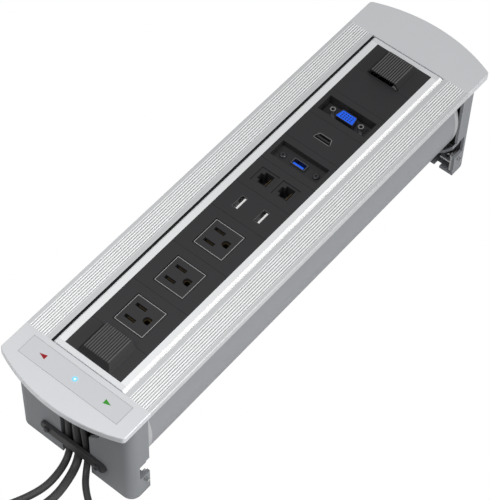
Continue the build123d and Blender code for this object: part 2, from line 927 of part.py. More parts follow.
insert_size = 28.5
insert_gap = 0.3
insert_depth = 20.0
insert_flange = 2.0
insert_flange_margin = 2.2
insert_bevel = 0.8
insert_bevel_drop = 0.5
slot_spread = 12.7
slot_width = 3.0
slot_length = 10.0
slot_y = 4.5
slot_depth = 16.0
ground_radius = 3.25
ground_y = -6.6
ground_flat = 3.0
contact_leaf = 0.6
contact_length = 7.0
contact_drop = 3.0
contact_gap = 0.1
ground_contact_wall = 0.8
insert_seat = ledge_top - insert_flange

with BuildPart() as outlet_plates:
    for start in outlet_starts:
        panel_block(start, start + outlet_pitch)
    with BuildSketch(Plane.XY.offset(flat_top)):
        with Locations(*[(x, 0) for x in outlet_xs]):
            Rectangle(insert_size + 2 * insert_gap, insert_size + 2 * insert_gap)
    extrude(amount=-panel_thickness, mode=Mode.SUBTRACT)
save(outlet_plates.part, "outlet_plates")


def make_outlet_insert():
    """One outlet block at x = 0: face with bevelled edges, two slots and a ground hole."""
    with BuildPart() as insert:
        with BuildSketch(Plane.XY.offset(flat_top)):
            Rectangle(insert_size, insert_size)
        extrude(amount=-insert_depth)
        top_edges = insert.faces().sort_by(Axis.Z)[-1].edges()
        chamfer(top_edges.filter_by(Axis.X), insert_bevel_drop, insert_bevel)
        with BuildSketch(Plane.XY.offset(insert_seat)):
            Rectangle(insert_size + 2 * insert_flange_margin, insert_size + 2 * insert_flange_margin)
        extrude(amount=insert_flange)
        with BuildSketch(Plane.XY.offset(flat_top)):
            with Locations((0, slot_y)):
                with GridLocations(slot_spread, 0, 2, 1):
                    Rectangle(slot_width, slot_length)
            with Locations((0, ground_y)):
                Circle(ground_radius)
            with Locations((0, ground_y - ground_flat / 2)):
                Rectangle(2 * ground_radius, ground_flat)
        extrude(amount=-slot_depth, mode=Mode.SUBTRACT)
    return insert.part


def make_outlet_contacts():
    """The two sprung blade clips and the ground tube of one outlet at x = 0."""
    clip_width = slot_width - 2 * contact_gap
    with BuildPart() as contacts:
        for side in (-1, 1):
            x = side * slot_spread / 2
            low = flat_top - slot_depth
            block(
                x - clip_width / 2,
                x + clip_width / 2,
                slot_y - contact_length / 2,
                slot_y + contact_length / 2,
                low,
                flat_top - contact_drop,
            )
            block(
                x - clip_width / 2 + contact_leaf,
                x + clip_width / 2 - contact_leaf,
                slot_y - contact_length / 2,
                slot_y + contact_length / 2,
                low + contact_leaf,
                flat_top - contact_drop,
                mode=Mode.SUBTRACT,
            )
        with BuildSketch(Plane.XY.offset(flat_top - slot_depth)):
            with Locations((0, ground_y)):
                Circle(ground_radius - contact_gap)
                Circle(ground_radius - contact_gap - ground_contact_wall, mode=Mode.SUBTRACT)
        extrude(amount=slot_depth - contact_drop)
    return contacts.part


outlet_insert = make_outlet_insert()
outlet_contact_set = make_outlet_contacts()

with BuildPart() as outlet_inserts:
    for x in outlet_xs:
        add(outlet_insert.moved(Location((x, 0, 0))))
save(outlet_inserts.part, "outlet_inserts")

with BuildPart() as outlet_contacts:
    for x in outlet_xs:
        add(outlet_contact_set.moved(Location((x, 0, 0))))
save(outlet_contacts.part, "outlet_contacts")

# Panel: charger module with two ports

charger_spread = 21.5
charger_width = 13.5
charger_height = 6.0
socket_wall = 0.45
charger_depth = 14.0
charger_sink = 0.3
charger_base = 3.0
tongue_width = 11.4
tongue_thickness = 1.9
tongue_top_drop = 1.2
charger_board_width = 24.0
charger_board_length = 36.0
charger_floor = flat_top - charger_sink - charger_depth

with BuildPart() as usb_charger_plate:
    panel_block(usb_x - module_pitch / 2, usb_x + module_pitch / 2)
    with BuildSketch(Plane.XY.offset(flat_top)):
        with Locations((usb_x, 0)):
            with GridLocations(0, charger_spread, 1, 2):
                Rectangle(charger_width, charger_height)
    extrude(amount=-panel_thickness, mode=Mode.SUBTRACT)
save(usb_charger_plate.part, "usb_charger_plate")

with BuildPart() as usb_charger_shells:
    with BuildSketch(Plane.XY.offset(charger_floor)):
        with Locations((usb_x, 0)):
            with GridLocations(0, charger_spread, 1, 2):
                Rectangle(charger_width - 2 * running_fit, charger_height - 2 * running_fit)
                Rectangle(
                    charger_width - 2 * running_fit - 2 * socket_wall,
                    charger_height - 2 * running_fit - 2 * socket_wall,
                    mode=Mode.SUBTRACT,
                )
    extrude(amount=charger_depth)
save(usb_charger_shells.part, "usb_charger_shells")

charger_bore_width = charger_width - 4 * running_fit - 2 * socket_wall
charger_bore_height = charger_height - 4 * running_fit - 2 * socket_wall

with BuildPart() as usb_charger_tongues:
    for side in (-1, 1):
        y = side * charger_spread / 2
        block(
            usb_x - charger_bore_width / 2,
            usb_x + charger_bore_width / 2,
            y - charger_bore_height / 2,
            y + charger_bore_height / 2,
            charger_floor,
            charger_floor + charger_base,
        )
        block(
            usb_x - tongue_width / 2,
            usb_x + tongue_width / 2,
            y - charger_bore_height / 2,
            y - charger_bore_height / 2 + tongue_thickness,
            charger_floor,
            flat_top - tongue_top_drop,
        )
save(usb_charger_tongues.part, "usb_charger_tongues")

with BuildPart() as usb_charger_board:
    block(
        usb_x - charger_board_width / 2,
        usb_x + charger_board_width / 2,
        -charger_board_length / 2,
        charger_board_length / 2,
        charger_floor - board_thickness,
        charger_floor,
    )
save(usb_charger_board.part, "usb_charger_board")

# Panel: network module with two jacks

jack_spread = 20.6
jack_width = 16.0
jack_length = 17.5
jack_depth = 18.0
jack_sink = 0.8
jack_flange = 2.0
jack_flange_margin = 1.0
jack_mouth_width = 11.7
jack_mouth_length = 8.4
jack_mouth_depth = 13.0
jack_latch_width = 6.0
jack_latch_length = 2.6
jack_mouth_shift = 1.0

with BuildPart() as network_plate:
    panel_block(network_x - module_pitch / 2, network_x + module_pitch / 2)
    with BuildSketch(Plane.XY.offset(flat_top)):
        with Locations((network_x, 0)):
            with GridLocations(0, jack_spread, 1, 2):
                Rectangle(jack_width, jack_length)
    extrude(amount=-panel_thickness, mode=Mode.SUBTRACT)
save(network_plate.part, "network_plate")

with BuildPart() as network_jacks:
    for side in (-1, 1):
        y = side * jack_spread / 2
        block(
            network_x - jack_width / 2 + piece_gap,
            network_x + jack_width / 2 - piece_gap,
            y - jack_length / 2 + piece_gap,
            y + jack_length / 2 - piece_gap,
            flat_top - jack_depth,
            flat_top - jack_sink,
        )
        block(
            network_x - jack_width / 2 - jack_flange_margin,
            network_x + jack_width / 2 + jack_flange_margin,
            y - jack_length / 2 - jack_flange_margin,
            y + jack_length / 2 + jack_flange_margin,
            ledge_top - jack_flange,
            ledge_top,
        )
        mouth_y = y - jack_mouth_shift
        block(
            network_x - jack_mouth_width / 2,
            network_x + jack_mouth_width / 2,
            mouth_y - jack_mouth_length / 2,
            mouth_y + jack_mouth_length / 2,
            flat_top - jack_sink - jack_mouth_depth,
            flat_top,
            mode=Mode.SUBTRACT,
        )
        block(
            network_x - jack_latch_width / 2,
            network_x + jack_latch_width / 2,
            mouth_y + jack_mouth_length / 2,
            mouth_y + jack_mouth_length / 2 + jack_latch_length,
            flat_top - jack_sink - jack_mouth_depth,
            flat_top,
            mode=Mode.SUBTRACT,
        )
save(network_jacks.part, "network_jacks")

# Panel: modules whose sockets sit in a sunk tray

tray_width = 17.0
tray_length = 46.0
tray_wall = 1.2
usb3_tray_depth = 6.0
vga_tray_depth = 9.5


def make_tray_plate(centre, depth, hole_width, hole_length):
    """A module plate with a sunk tray and a hole for the socket in its floor."""
    with BuildPart() as tray:
        panel_block(centre - module_pitch / 2, centre + module_pitch / 2)
        with BuildSketch(Plane.XY.offset(flat_top - depth - tray_wall)):
            with Locations((centre, 0)):
                Rectangle(tray_width + 2 * tray_wall, tray_length + 2 * tray_wall)
        extrude(amount=depth + tray_wall)
        with BuildSketch(Plane.XY.offset(flat_top - depth)):
            with Locations((centre, 0)):
                Rectangle(tray_width, tray_length)
        extrude(amount=depth, mode=Mode.SUBTRACT)
        with BuildSketch(Plane.XY.offset(flat_top - depth)):
            with Locations((centre, 0)):
                Rectangle(hole_width, hole_length)
        extrude(amount=-tray_wall, mode=Mode.SUBTRACT)
    return tray.part


# Panel: data port with a blue tongue and two screws

usb3_length = 13.0
usb3_width = 6.2
usb3_rise = 3.0
usb3_depth = 15.0
usb3_tongue_thickness = 1.9
usb3_tongue_margin = 1.0
usb3_screw_spread = 33.0
usb3_floor = flat_top - usb3_tray_depth
usb3_top = usb3_floor + usb3_rise
usb3_bore_length = usb3_length - 2 * socket_wall - 2 * running_fit
usb3_bore_width = usb3_width - 2 * socket_wall - 2 * running_fit
usb3_low = usb3_top - usb3_depth

usb3_tray = make_tray_plate(
    usb3_x, usb3_tray_depth, usb3_width + 2 * running_fit, usb3_length + 2 * running_fit
)
with BuildPart() as usb3_plate:
    add(usb3_tray)
    with BuildSketch(Plane.XY.offset(usb3_floor)):
        with Locations((usb3_x, 0)):
            with GridLocations(0, usb3_screw_spread, 1, 2):
                Circle(screw_hole)
    extrude(amount=-tray_wall, mode=Mode.SUBTRACT)
save(usb3_plate.part, "usb3_plate")

with BuildPart() as usb3_shell:
    with BuildSketch(Plane.XY.offset(usb3_low)):
        with Locations((usb3_x, 0)):
            Rectangle(usb3_width, usb3_length)
            Rectangle(
                usb3_bore_width + 2 * running_fit, usb3_bore_length + 2 * running_fit, mode=Mode.SUBTRACT
            )
    extrude(amount=usb3_depth)
save(usb3_shell.part, "usb3_shell")

with BuildPart() as usb3_tongue:
    block(
        usb3_x - usb3_bore_width / 2,
        usb3_x + usb3_bore_width / 2,
        -usb3_bore_length / 2,
        usb3_bore_length / 2,
        usb3_low,
        usb3_low + charger_base,
    )
    block(
        usb3_x - usb3_bore_width / 2,
        usb3_x - usb3_bore_width / 2 + usb3_tongue_thickness,
        -usb3_bore_length / 2 + usb3_tongue_margin,
        usb3_bore_length / 2 - usb3_tongue_margin,
        usb3_low,
        usb3_top - socket_wall,
    )
save(usb3_tongue.part, "usb3_tongue")

usb3_screw_places = [
    ((usb3_x, side * usb3_screw_spread / 2, usb3_floor), (0, 0, -1)) for side in (-1, 1)
]
save(screws(usb3_screw_places), "usb3_screws")

# Panel: display sockets, one flush and one in a tray

hdmi_length = 17.0
hdmi_width = 6.8
hdmi_taper = 2.4
hdmi_depth = 14.0
hdmi_tongue_length = 12.0
hdmi_tongue_thickness = 1.6
hdmi_wall = 0.6
hdmi_top = flat_top - charger_sink
hdmi_low = hdmi_top - hdmi_depth
vga_flange_length = 33.0
vga_flange_width = 12.5
vga_flange_thickness = 0.8
vga_length = 17.5
vga_width = 9.0
vga_taper = 1.6
vga_corner = 1.2
vga_rise = 8.0
vga_wall = 0.5
vga_tail = 8.0
vga_face_drop = 0.3
vga_pin_radius = 0.5
vga_pin_depth = 5.0
vga_pin_spacing = 2.3
vga_row_spacing = 2.0
vga_post_spread = 28.0
vga_post_radius = 2.6
vga_post_height = 6.5
vga_post_bore = 1.5
vga_floor = flat_top - vga_tray_depth


def taper_outline(centre, length, width, taper, corner, margin, height):
    """A socket outline, narrower on its +X side, grown by a margin."""
    half = length / 2 + margin
    reach = width / 2 + margin
    with BuildSketch(Plane.XY.offset(height)) as outline:
        Polygon(
            (centre - reach, -half),
            (centre + reach, -half + taper),
            (centre + reach, half - taper),
            (centre - reach, half),
            align=None,
        )
        fillet(outline.vertices(), corner + margin)
    return outline.sketch


def hdmi_outline(margin, height):
    """The display socket's outline grown by a margin."""
    return taper_outline(hdmi_x, hdmi_length, hdmi_width, hdmi_taper, hdmi_wall + overrun / 2, margin, height)


def vga_outline(margin, height):
    """The screen socket's outline grown by a margin."""
    return taper_outline(vga_x, vga_length, vga_width, vga_taper, vga_corner, margin, height)


with BuildPart() as hdmi_plate:
    panel_block(hdmi_x - module_pitch / 2, hdmi_x + module_pitch / 2)
    extrude(hdmi_outline(running_fit, flat_top), amount=-panel_thickness, mode=Mode.SUBTRACT)
save(hdmi_plate.part, "hdmi_plate")

with BuildPart() as hdmi_shell:
    extrude(hdmi_outline(0, hdmi_low), amount=hdmi_depth)
    extrude(hdmi_outline(-hdmi_wall, hdmi_low + hdmi_wall), amount=hdmi_depth, mode=Mode.SUBTRACT)
save(hdmi_shell.part, "hdmi_shell")

with BuildPart() as hdmi_tongue:
    extrude(hdmi_outline(-hdmi_wall - running_fit, hdmi_low + hdmi_wall), amount=charger_base)
    block(
        hdmi_x - hdmi_tongue_thickness / 2,
        hdmi_x + hdmi_tongue_thickness / 2,
        -hdmi_tongue_length / 2,
        hdmi_tongue_length / 2,
        hdmi_low + hdmi_wall,
        hdmi_top - hdmi_wall,
    )
save(hdmi_tongue.part, "hdmi_tongue")

vga_hole = vga_width - 2 * vga_wall
vga_tray = make_tray_plate(vga_x, vga_tray_depth, vga_hole, vga_length - 2 * vga_wall - 2 * vga_taper)
with BuildPart() as vga_plate:
    add(vga_tray)
save(vga_plate.part, "vga_plate")

with BuildPart() as vga_shell:
    block(
        vga_x - vga_flange_width / 2,
        vga_x + vga_flange_width / 2,
        -vga_flange_length / 2,
        vga_flange_length / 2,
        vga_floor,
        vga_floor + vga_flange_thickness,
    )
    extrude(vga_outline(0, vga_floor), amount=vga_rise)
    extrude(vga_outline(-vga_wall, vga_floor), amount=vga_rise, mode=Mode.SUBTRACT)
save(vga_shell.part, "vga_shell")

with BuildPart() as vga_insert:
    extrude(vga_outline(-vga_wall - running_fit, vga_floor), amount=vga_rise - vga_face_drop)
    block(
        vga_x - vga_hole / 2 + piece_gap,
        vga_x + vga_hole / 2 - piece_gap,
        -vga_length / 2 + vga_wall + vga_taper + piece_gap,
        vga_length / 2 - vga_wall - vga_taper - piece_gap,
        vga_floor - vga_tail,
        vga_floor,
    )
    with BuildSketch(Plane.XY.offset(vga_floor + vga_rise - vga_face_drop)):
        with Locations((vga_x, 0)):
            with GridLocations(vga_row_spacing, vga_pin_spacing, 3, 5):
                Circle(vga_pin_radius)
    extrude(amount=-vga_pin_depth, mode=Mode.SUBTRACT)
save(vga_insert.part, "vga_insert")

with BuildPart() as vga_posts:
    with BuildSketch(Plane.XY.offset(vga_floor + vga_flange_thickness)):
        with Locations((vga_x, 0)):
            with GridLocations(0, vga_post_spread, 1, 2):
                RegularPolygon(vga_post_radius, 6)
                Circle(vga_post_bore, mode=Mode.SUBTRACT)
    extrude(amount=vga_post_height)
save(vga_posts.part, "vga_posts")

with BuildPart() as blank_plate:
    panel_block(blank_x - module_pitch / 2, blank_x + module_pitch / 2)
save(blank_plate.part, "blank_plate")

# Cords: routes on the floor, coils of the spare length and plugs.
# Points of a route are places chosen by hand. A coil is worked out by a formula.

mains_diameter = 7.0
hdmi_diameter = 6.0
network_diameter = 5.5
floor_gap = 0.1
coil_gap = 0.5
reverse_quarter = 12
bend_share = 0.45
climb_steepness_share = 1.5
gap_samples = 480

mains_coil_centre = (-308.0, -52.0)
mains_coil_radius = 50.75
hdmi_coil_centre = (-394.0, 18.0)
hdmi_coil_radius = 43.75
network_coil_radius = 40.0
mains_floor = mains_diameter / 2 + floor_gap
hdmi_floor = hdmi_diameter / 2 + floor_gap
network_floor = network_diameter / 2 + floor_gap
mains_pile_top = mains_floor + mains_diameter + coil_gap + mains_diameter / 2
network_layer = mains_pile_top + coil_gap + network_diameter / 2


def coil_nodes(centre, outer_radius, cord, quarters, first_angle, way, height):
    """Points and headings, one each quarter turn, of a coil in two layers."""
    pitch = cord + coil_gap
    nodes = []
    for quarter in range(quarters + 1):
        angle = math.radians(first_angle + way * 90 * quarter)
        inward = quarter if quarter <= reverse_quarter else 2 * reverse_quarter - quarter
        radius = outer_radius - inward * pitch / 4
        lift = 0 if quarter < reverse_quarter else pitch
        climb = 0
        drift = -pitch / 4 if quarter < reverse_quarter else pitch / 4
        if quarter == reverse_quarter:
            lift = pitch / 2
            climb = climb_steepness_share * pitch / 2
            drift = 0
        if quarter in (0, quarters):
            drift = 0
        point = Vector(
            centre[0] + radius * math.cos(angle), centre[1] + radius * math.sin(angle), height + lift
        )
        outward = Vector(math.cos(angle), math.sin(angle), 0)
        around = Vector(-math.sin(angle), math.cos(angle), 0) * way
        heading = outward * drift + around * (radius * math.pi / 2) + Vector(0, 0, climb)
        nodes.append((point, heading.normalized()))
    return nodes


def straight_ends(nodes, start_length, end_length):
    """The nodes with a straight stretch added at each end, along the end headings."""
    first, last = nodes[0], nodes[-1]
    start = (first[0] - first[1] * start_length, first[1])
    end = (last[0] + last[1] * end_length, last[1])
    return [start] + nodes + [end]


def draw_biarcs(nodes):
    """Two arcs, or one straight line, between each node and the next."""
    for (p0, t0), (p1, t1) in zip(nodes, nodes[1:]):
        reach = p1 - p0
        if reach.normalized().dot(t0) > 1 - 1e-9:
            Line(p0, p1)
            continue
        both = t0 + t1
        cross = reach.dot(both)
        spread = 2 * (1 - t0.dot(t1))
        if spread < 1e-9:
            arm = reach.dot(reach) / (4 * reach.dot(t0))
        else:
            arm = (math.sqrt(cross ** 2 + spread * reach.dot(reach)) - cross) / spread
        joint_a = p0 + t0 * arm
        joint_b = p1 - t1 * arm
        middle = (joint_a + joint_b) * 0.5
        TangentArc(p0, middle, tangent=t0)
        TangentArc(middle, p1, tangent=joint_b - joint_a)


def make_tube(nodes, diameter, name):
    """A round cord along a coil's nodes, with its length and least gap printed."""
    with BuildPart() as tube:
        with BuildLine() as path:
            draw_biarcs(nodes)
        start, heading = nodes[0]
        with BuildSketch(Plane(origin=start, z_dir=heading)):
            Circle(diameter / 2)
        sweep(path=path.line)
    wire = path.wire()
    length = wire.length
    points = [wire.position_at(n / gap_samples) for n in range(gap_samples + 1)]
    apart = int(2 * diameter * gap_samples / length) + 1
    least = min(
        (points[a] - points[b]).length
        for a in range(0, gap_samples + 1)
        for b in range(a + apart, gap_samples + 1)
    )
    section = math.pi * diameter ** 2 / 4
    print(f"{name}: length {length:.0f}, least gap to itself {least - diameter:.2f},", end=" ")
    print(f"volume share {tube.part.volume / (section * length):.4f}")
    return tube.part, length


def make_lead(route, diameter, name):
    """A round cord along runs joined by arcs, with its bend radii printed."""
    radii = []
    for before, here, after in zip(route, route[1:], route[2:]):
        run_in = Vector(*here) - Vector(*before)
        run_out = Vector(*after) - Vector(*here)
        turn = math.radians(run_in.get_angle(run_out))
        radii.append(bend_share * min(run_in.length, run_out.length) / math.tan(turn / 2))
    with BuildPart() as tube:
        with BuildLine() as path:
            FilletPolyline(*route, radius=radii)
        start = Vector(*route[0])
        with BuildSketch(Plane(origin=start, z_dir=Vector(*route[1]) - start)):
            Circle(diameter / 2)
        sweep(path=path.line)
    length = path.wire().length
    section = math.pi * diameter ** 2 / 4
    print(f"{name}: length {length:.0f}, volume share {tube.part.volume / (section * length):.4f}")
    print("  radii", [round(radius, 1) for radius in radii])
    return tube.part, length


def entry_point(nodes):
    """The start of a coil's straight end, where its lead meets it."""
    return tuple(nodes[0][0])


mains_tail_diameters = 3
mains_nodes = straight_ends(
    coil_nodes(mains_coil_centre, mains_coil_radius, mains_diameter, 24, 135, 1, mains_floor),
    mains_diameter,
    mains_tail_diameters * mains_diameter,
)
hdmi_turns = coil_nodes(hdmi_coil_centre, hdmi_coil_radius, hdmi_diameter, 25, 90, 1, hdmi_floor)
network_turns = coil_nodes(
    mains_coil_centre, network_coil_radius, network_diameter, 24, -90, -1, network_layer
)

# Plug sizes, and the tails that bring the light cords down to their plugs
hdmi_plug_thickness = 11.0
hdmi_plug_width = 20.0
hdmi_plug_length = 27.0
hdmi_plug_edge = 2.0
hdmi_relief_length = 12.0
hdmi_tip_width = 14.0
hdmi_tip_thickness = 4.6
hdmi_tip_length = 12.0
network_plug_thickness = 8.0
network_plug_width = 11.7
network_plug_length = 20.0
network_boot_length = 10.0
network_boot_margin = 0.8
latch_width = 4.0
latch_length = 12.0
latch_rise = 1.2
tail_drop_length = 24.0
hdmi_plug_height = hdmi_plug_thickness / 2 + floor_gap
network_upper_turn = network_layer + network_diameter + coil_gap
network_pile_top = network_upper_turn + network_diameter / 2
network_plug_height = network_pile_top + coil_gap / 2 + network_plug_thickness / 2
network_tail_inset = 3.5
network_tail_drift = -9.0
tail_turn_share = 0.5
tail_lift_share = 0.6


def with_low_tail(nodes, cord, plug_height):
    """The nodes with straight ends and a tail that comes down to a plug's height."""
    longer = straight_ends(nodes, cord, cord)
    point, heading = longer[-1]
    low = Vector(point.X, point.Y, plug_height) + heading * tail_drop_length
    return longer + [(low, heading), (low + heading * cord, heading)]


def with_high_tail(nodes, centre, radius, start_angle, way, plug_height):
    """The nodes with a last quarter turn that climbs inwards onto the coil itself."""
    low = nodes[-1][0].Z
    rise = plug_height - low
    half_way = (tail_turn_share, 0.0, tail_lift_share * rise, -network_tail_inset / 2, rise)
    steps = (half_way, (1.0, -network_tail_inset, rise, 0, 0))
    tail = []
    for quarters_on, widening, lift, drift, climb in steps:
        angle = math.radians(start_angle + way * 90 * quarters_on)
        reach = radius + widening
        point = Vector(centre[0] + reach * math.cos(angle), centre[1] + reach * math.sin(angle), low + lift)
        outward = Vector(math.cos(angle), math.sin(angle), 0)
        around = Vector(-math.sin(angle), math.cos(angle), 0) * way
        inward_drift = drift if climb else network_tail_drift
        heading = outward * inward_drift + around * (reach * math.pi / 2) + Vector(0, 0, climb)
        tail.append((point, heading.normalized()))
    return nodes + tail


hdmi_nodes = with_low_tail(hdmi_turns, hdmi_diameter, hdmi_plug_height)
network_climb = with_high_tail(
    network_turns, mains_coil_centre, network_coil_radius, -90, -1, network_plug_height
)
network_nodes = straight_ends(network_climb, network_diameter, network_diameter)

mains_route = [
    (-190.0, 0.0, 71.3),
    (-209.65, 0.1, 71.3),
    (-209.7, -0.4, 48.0),
    (-209.65, -0.9, 27.0),
    (-209.7, -1.4, 11.5),
    (-217.5, -4.5, mains_floor),
    (-231.0, -8.3, mains_floor),
    (-247.0, -10.6, mains_floor),
    (-263.0, -8.0, mains_floor),
    (-281.0, 1.0, mains_floor),
    (-297.0, 6.0, mains_floor),
    (-312.5, 6.5, mains_floor),
    (-326.9, 0.87, mains_floor),
    entry_point(mains_nodes),
]
hdmi_route = [
    (-190.0, 5.3, 64.8),
    (-209.9, 6.5, 64.8),
    (-209.9, 7.6, 42.0),
    (-209.8, 8.2, 25.0),
    (-209.9, 7.6, 11.0),
    (-217.0, 5.0, hdmi_floor),
    (-230.0, 1.5, hdmi_floor),
    (-246.0, 0.8, hdmi_floor),
    (-263.0, 6.0, hdmi_floor),
    (-281.0, 15.0, hdmi_floor),
    (-302.0, 27.0, hdmi_floor),
    (-326.0, 41.0, hdmi_floor),
    (-350.0, 54.5, hdmi_floor),
    (-371.0, 61.75, hdmi_floor),
    entry_point(hdmi_nodes),
]
network_route = [
    (-190.0, -5.6, 65.2),
    (-209.9, -6.8, 65.2),
    (-209.9, -8.6, 42.0),
    (-209.8, -9.6, 25.0),
    (-209.9, -10.0, 11.0),
    (-216.5, -13.5, network_floor),
    (-226.0, -21.0, network_floor),
    (-236.0, -34.0, network_floor),
    (-243.0, -50.0, network_floor),
    (-249.0, -66.0, 6.5),
    (-258.0, -82.0, 14.0),
    (-271.0, -91.0, 18.0),
    (-287.0, -92.0, network_layer),
    entry_point(network_nodes),
]

mains_lead, mains_lead_length = make_lead(mains_route, mains_diameter, "mains_lead")
save(mains_lead, "mains_lead")
hdmi_lead, hdmi_lead_length = make_lead(hdmi_route, hdmi_diameter, "hdmi_lead")
save(hdmi_lead, "hdmi_lead")
network_lead, network_lead_length = make_lead(network_route, network_diameter, "network_lead")
save(network_lead, "network_lead")

mains_coil, mains_coil_length = make_tube(mains_nodes, mains_diameter, "mains_coil")
save(mains_coil, "mains_coil")
hdmi_coil, hdmi_coil_length = make_tube(hdmi_nodes, hdmi_diameter, "hdmi_coil")
save(hdmi_coil, "hdmi_coil")
network_coil, network_coil_length = make_tube(network_nodes, network_diameter, "network_coil")
save(network_coil, "network_coil")
print(f"whole cords: {mains_lead_length + mains_coil_length:.0f},", end=" ")
print(f"{hdmi_lead_length + hdmi_coil_length:.0f}, {network_lead_length + network_coil_length:.0f}")


def end_plane(nodes):
    """The plane of a cord's end: X to its side, Y up, Z onwards along the cord."""
    point, heading = nodes[-1]
    side = Vector(0, 0, 1).cross(heading)
    return Plane(origin=point, x_dir=side, z_dir=heading)


# Mains plug: tapered relief, moulded grip, two blades and a round ground pin
relief_length = 28.0
relief_start = 4.3
relief_end = 6.2
plug_body_length = 34.0
plug_width = 24.0
plug_height = 22.0
plug_neck_width = 15.0
plug_neck_height = 13.0
plug_corner = 3.0
plug_grip_length = 16.0
blade_width = 6.35
blade_thickness = 1.5
blade_length = 16.0
ground_pin_radius = 2.4
ground_pin_length = 19.0
plug_blade_rise = 4.0
plug_pin_drop = -6.0

mains_end = end_plane(mains_nodes)
with BuildPart() as mains_plug:
    with BuildSketch(mains_end):
        Circle(relief_start)
    with BuildSketch(mains_end.offset(relief_length)):
        Circle(relief_end)
    loft()
    with BuildSketch(mains_end.offset(relief_length)):
        RectangleRounded(plug_neck_width, plug_neck_height, plug_corner)
    with BuildSketch(mains_end.offset(relief_length + plug_grip_length)):
        RectangleRounded(plug_width, plug_height, plug_corner)
    loft()
    with BuildSketch(mains_end.offset(relief_length + plug_grip_length)):
        RectangleRounded(plug_width, plug_height, plug_corner)
    extrude(amount=plug_body_length - plug_grip_length)
save(mains_plug.part, "mains_plug")

with BuildPart() as mains_plug_blades:
    with BuildSketch(mains_end.offset(relief_length + plug_body_length)):
        with Locations((0, plug_blade_rise)):
            with GridLocations(slot_spread, 0, 2, 1):
                Rectangle(blade_thickness, blade_width)
    extrude(amount=blade_length)
    with BuildSketch(mains_end.offset(relief_length + plug_body_length)):
        with Locations((0, plug_pin_drop)):
            Circle(ground_pin_radius)
    extrude(amount=ground_pin_length)
save(mains_plug_blades.part, "mains_plug_blades")

hdmi_end = end_plane(hdmi_nodes)
with BuildPart() as hdmi_plug:
    with BuildSketch(hdmi_end):
        Circle(hdmi_diameter / 2 + hdmi_plug_edge / 4)
    with BuildSketch(hdmi_end.offset(hdmi_relief_length)):
        Circle(hdmi_diameter / 2 + hdmi_plug_edge / 2)
    loft()
    with BuildSketch(hdmi_end.offset(hdmi_relief_length)):
        RectangleRounded(hdmi_plug_width, hdmi_plug_thickness, hdmi_plug_edge)
    extrude(amount=hdmi_plug_length)
save(hdmi_plug.part, "hdmi_plug")

with BuildPart() as hdmi_plug_shell:
    with BuildSketch(hdmi_end.offset(hdmi_relief_length + hdmi_plug_length)):
        Rectangle(hdmi_tip_width, hdmi_tip_thickness)
        Rectangle(
            hdmi_tip_width - 2 * socket_wall, hdmi_tip_thickness - 2 * socket_wall, mode=Mode.SUBTRACT
        )
    extrude(amount=hdmi_tip_length)
save(hdmi_plug_shell.part, "hdmi_plug_shell")

network_end = end_plane(network_nodes)
with BuildPart() as network_plug:
    with BuildSketch(network_end):
        Circle(network_diameter / 2 + network_boot_margin)
    extrude(amount=network_boot_length)
    with BuildSketch(network_end.offset(network_boot_length)):
        Rectangle(network_plug_width, network_plug_thickness)
    extrude(amount=network_plug_length)
    with BuildSketch(network_end.offset(network_boot_length + network_plug_length - latch_length)):
        with Locations((0, network_plug_thickness / 2 + latch_rise / 2)):
            Rectangle(latch_width, latch_rise)
    extrude(amount=latch_length)
save(network_plug.part, "network_plug")
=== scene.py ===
# %% [markdown]
# # A motorised desk socket, dressed for its photograph
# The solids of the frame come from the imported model. This script gives them their
# materials, adds the small details and the cords, and sets the camera and the light.

# %% Load the frame
import json
import math

import bpy
from mathutils import Matrix, Vector


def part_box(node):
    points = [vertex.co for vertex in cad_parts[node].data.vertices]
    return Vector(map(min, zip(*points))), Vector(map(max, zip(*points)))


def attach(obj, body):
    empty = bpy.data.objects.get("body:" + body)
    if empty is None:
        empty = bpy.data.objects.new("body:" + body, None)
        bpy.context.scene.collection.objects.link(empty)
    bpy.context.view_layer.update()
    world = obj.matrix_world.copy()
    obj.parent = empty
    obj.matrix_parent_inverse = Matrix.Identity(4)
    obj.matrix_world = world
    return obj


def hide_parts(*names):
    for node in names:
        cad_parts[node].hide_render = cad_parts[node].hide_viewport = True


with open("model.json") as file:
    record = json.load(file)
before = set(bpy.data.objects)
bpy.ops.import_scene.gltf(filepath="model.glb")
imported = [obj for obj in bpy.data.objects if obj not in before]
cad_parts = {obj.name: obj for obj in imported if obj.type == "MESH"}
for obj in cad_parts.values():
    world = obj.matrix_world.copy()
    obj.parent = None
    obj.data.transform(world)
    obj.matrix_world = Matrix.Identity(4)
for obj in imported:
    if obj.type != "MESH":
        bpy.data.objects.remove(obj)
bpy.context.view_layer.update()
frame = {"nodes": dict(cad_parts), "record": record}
nodes = frame["nodes"]

# %% [markdown]
# ## Sizes
# The sizes that several cells share. They repeat the frame's own sizes, the heights in
# metres and the places of the sockets in millimetres:
# X runs along the socket, +Y is the viewer's left, and the floor is at height 0.

# %% Sizes
mm = 0.001
top_height = 109.5 * mm
inlay_x = -206.5 * mm
hair = 0.02 * mm
outlet_x = -135.5
outlet_pitch = 45.0
network_x = 22.0
network_y = 10.3
data_socket_x = 52.0
display_x = 112.0

# %% [markdown]
# ## Camera
# The camera was fitted to the corners of the covers, the rails and the sockets in
# the photograph. Its place is in the frame's own axes.

# %% Camera
image_width = 490
focal_pixels = 1995.88
sensor_width = 36.0
far_limit = 20.0
camera_place = Vector((-0.723718, -0.552290, 1.333428))
camera_right = Vector((0.635989, -0.771431, 0.020280))
camera_forward = Vector((0.455948, 0.354434, -0.816387))
camera_up = camera_right.cross(camera_forward).normalized()

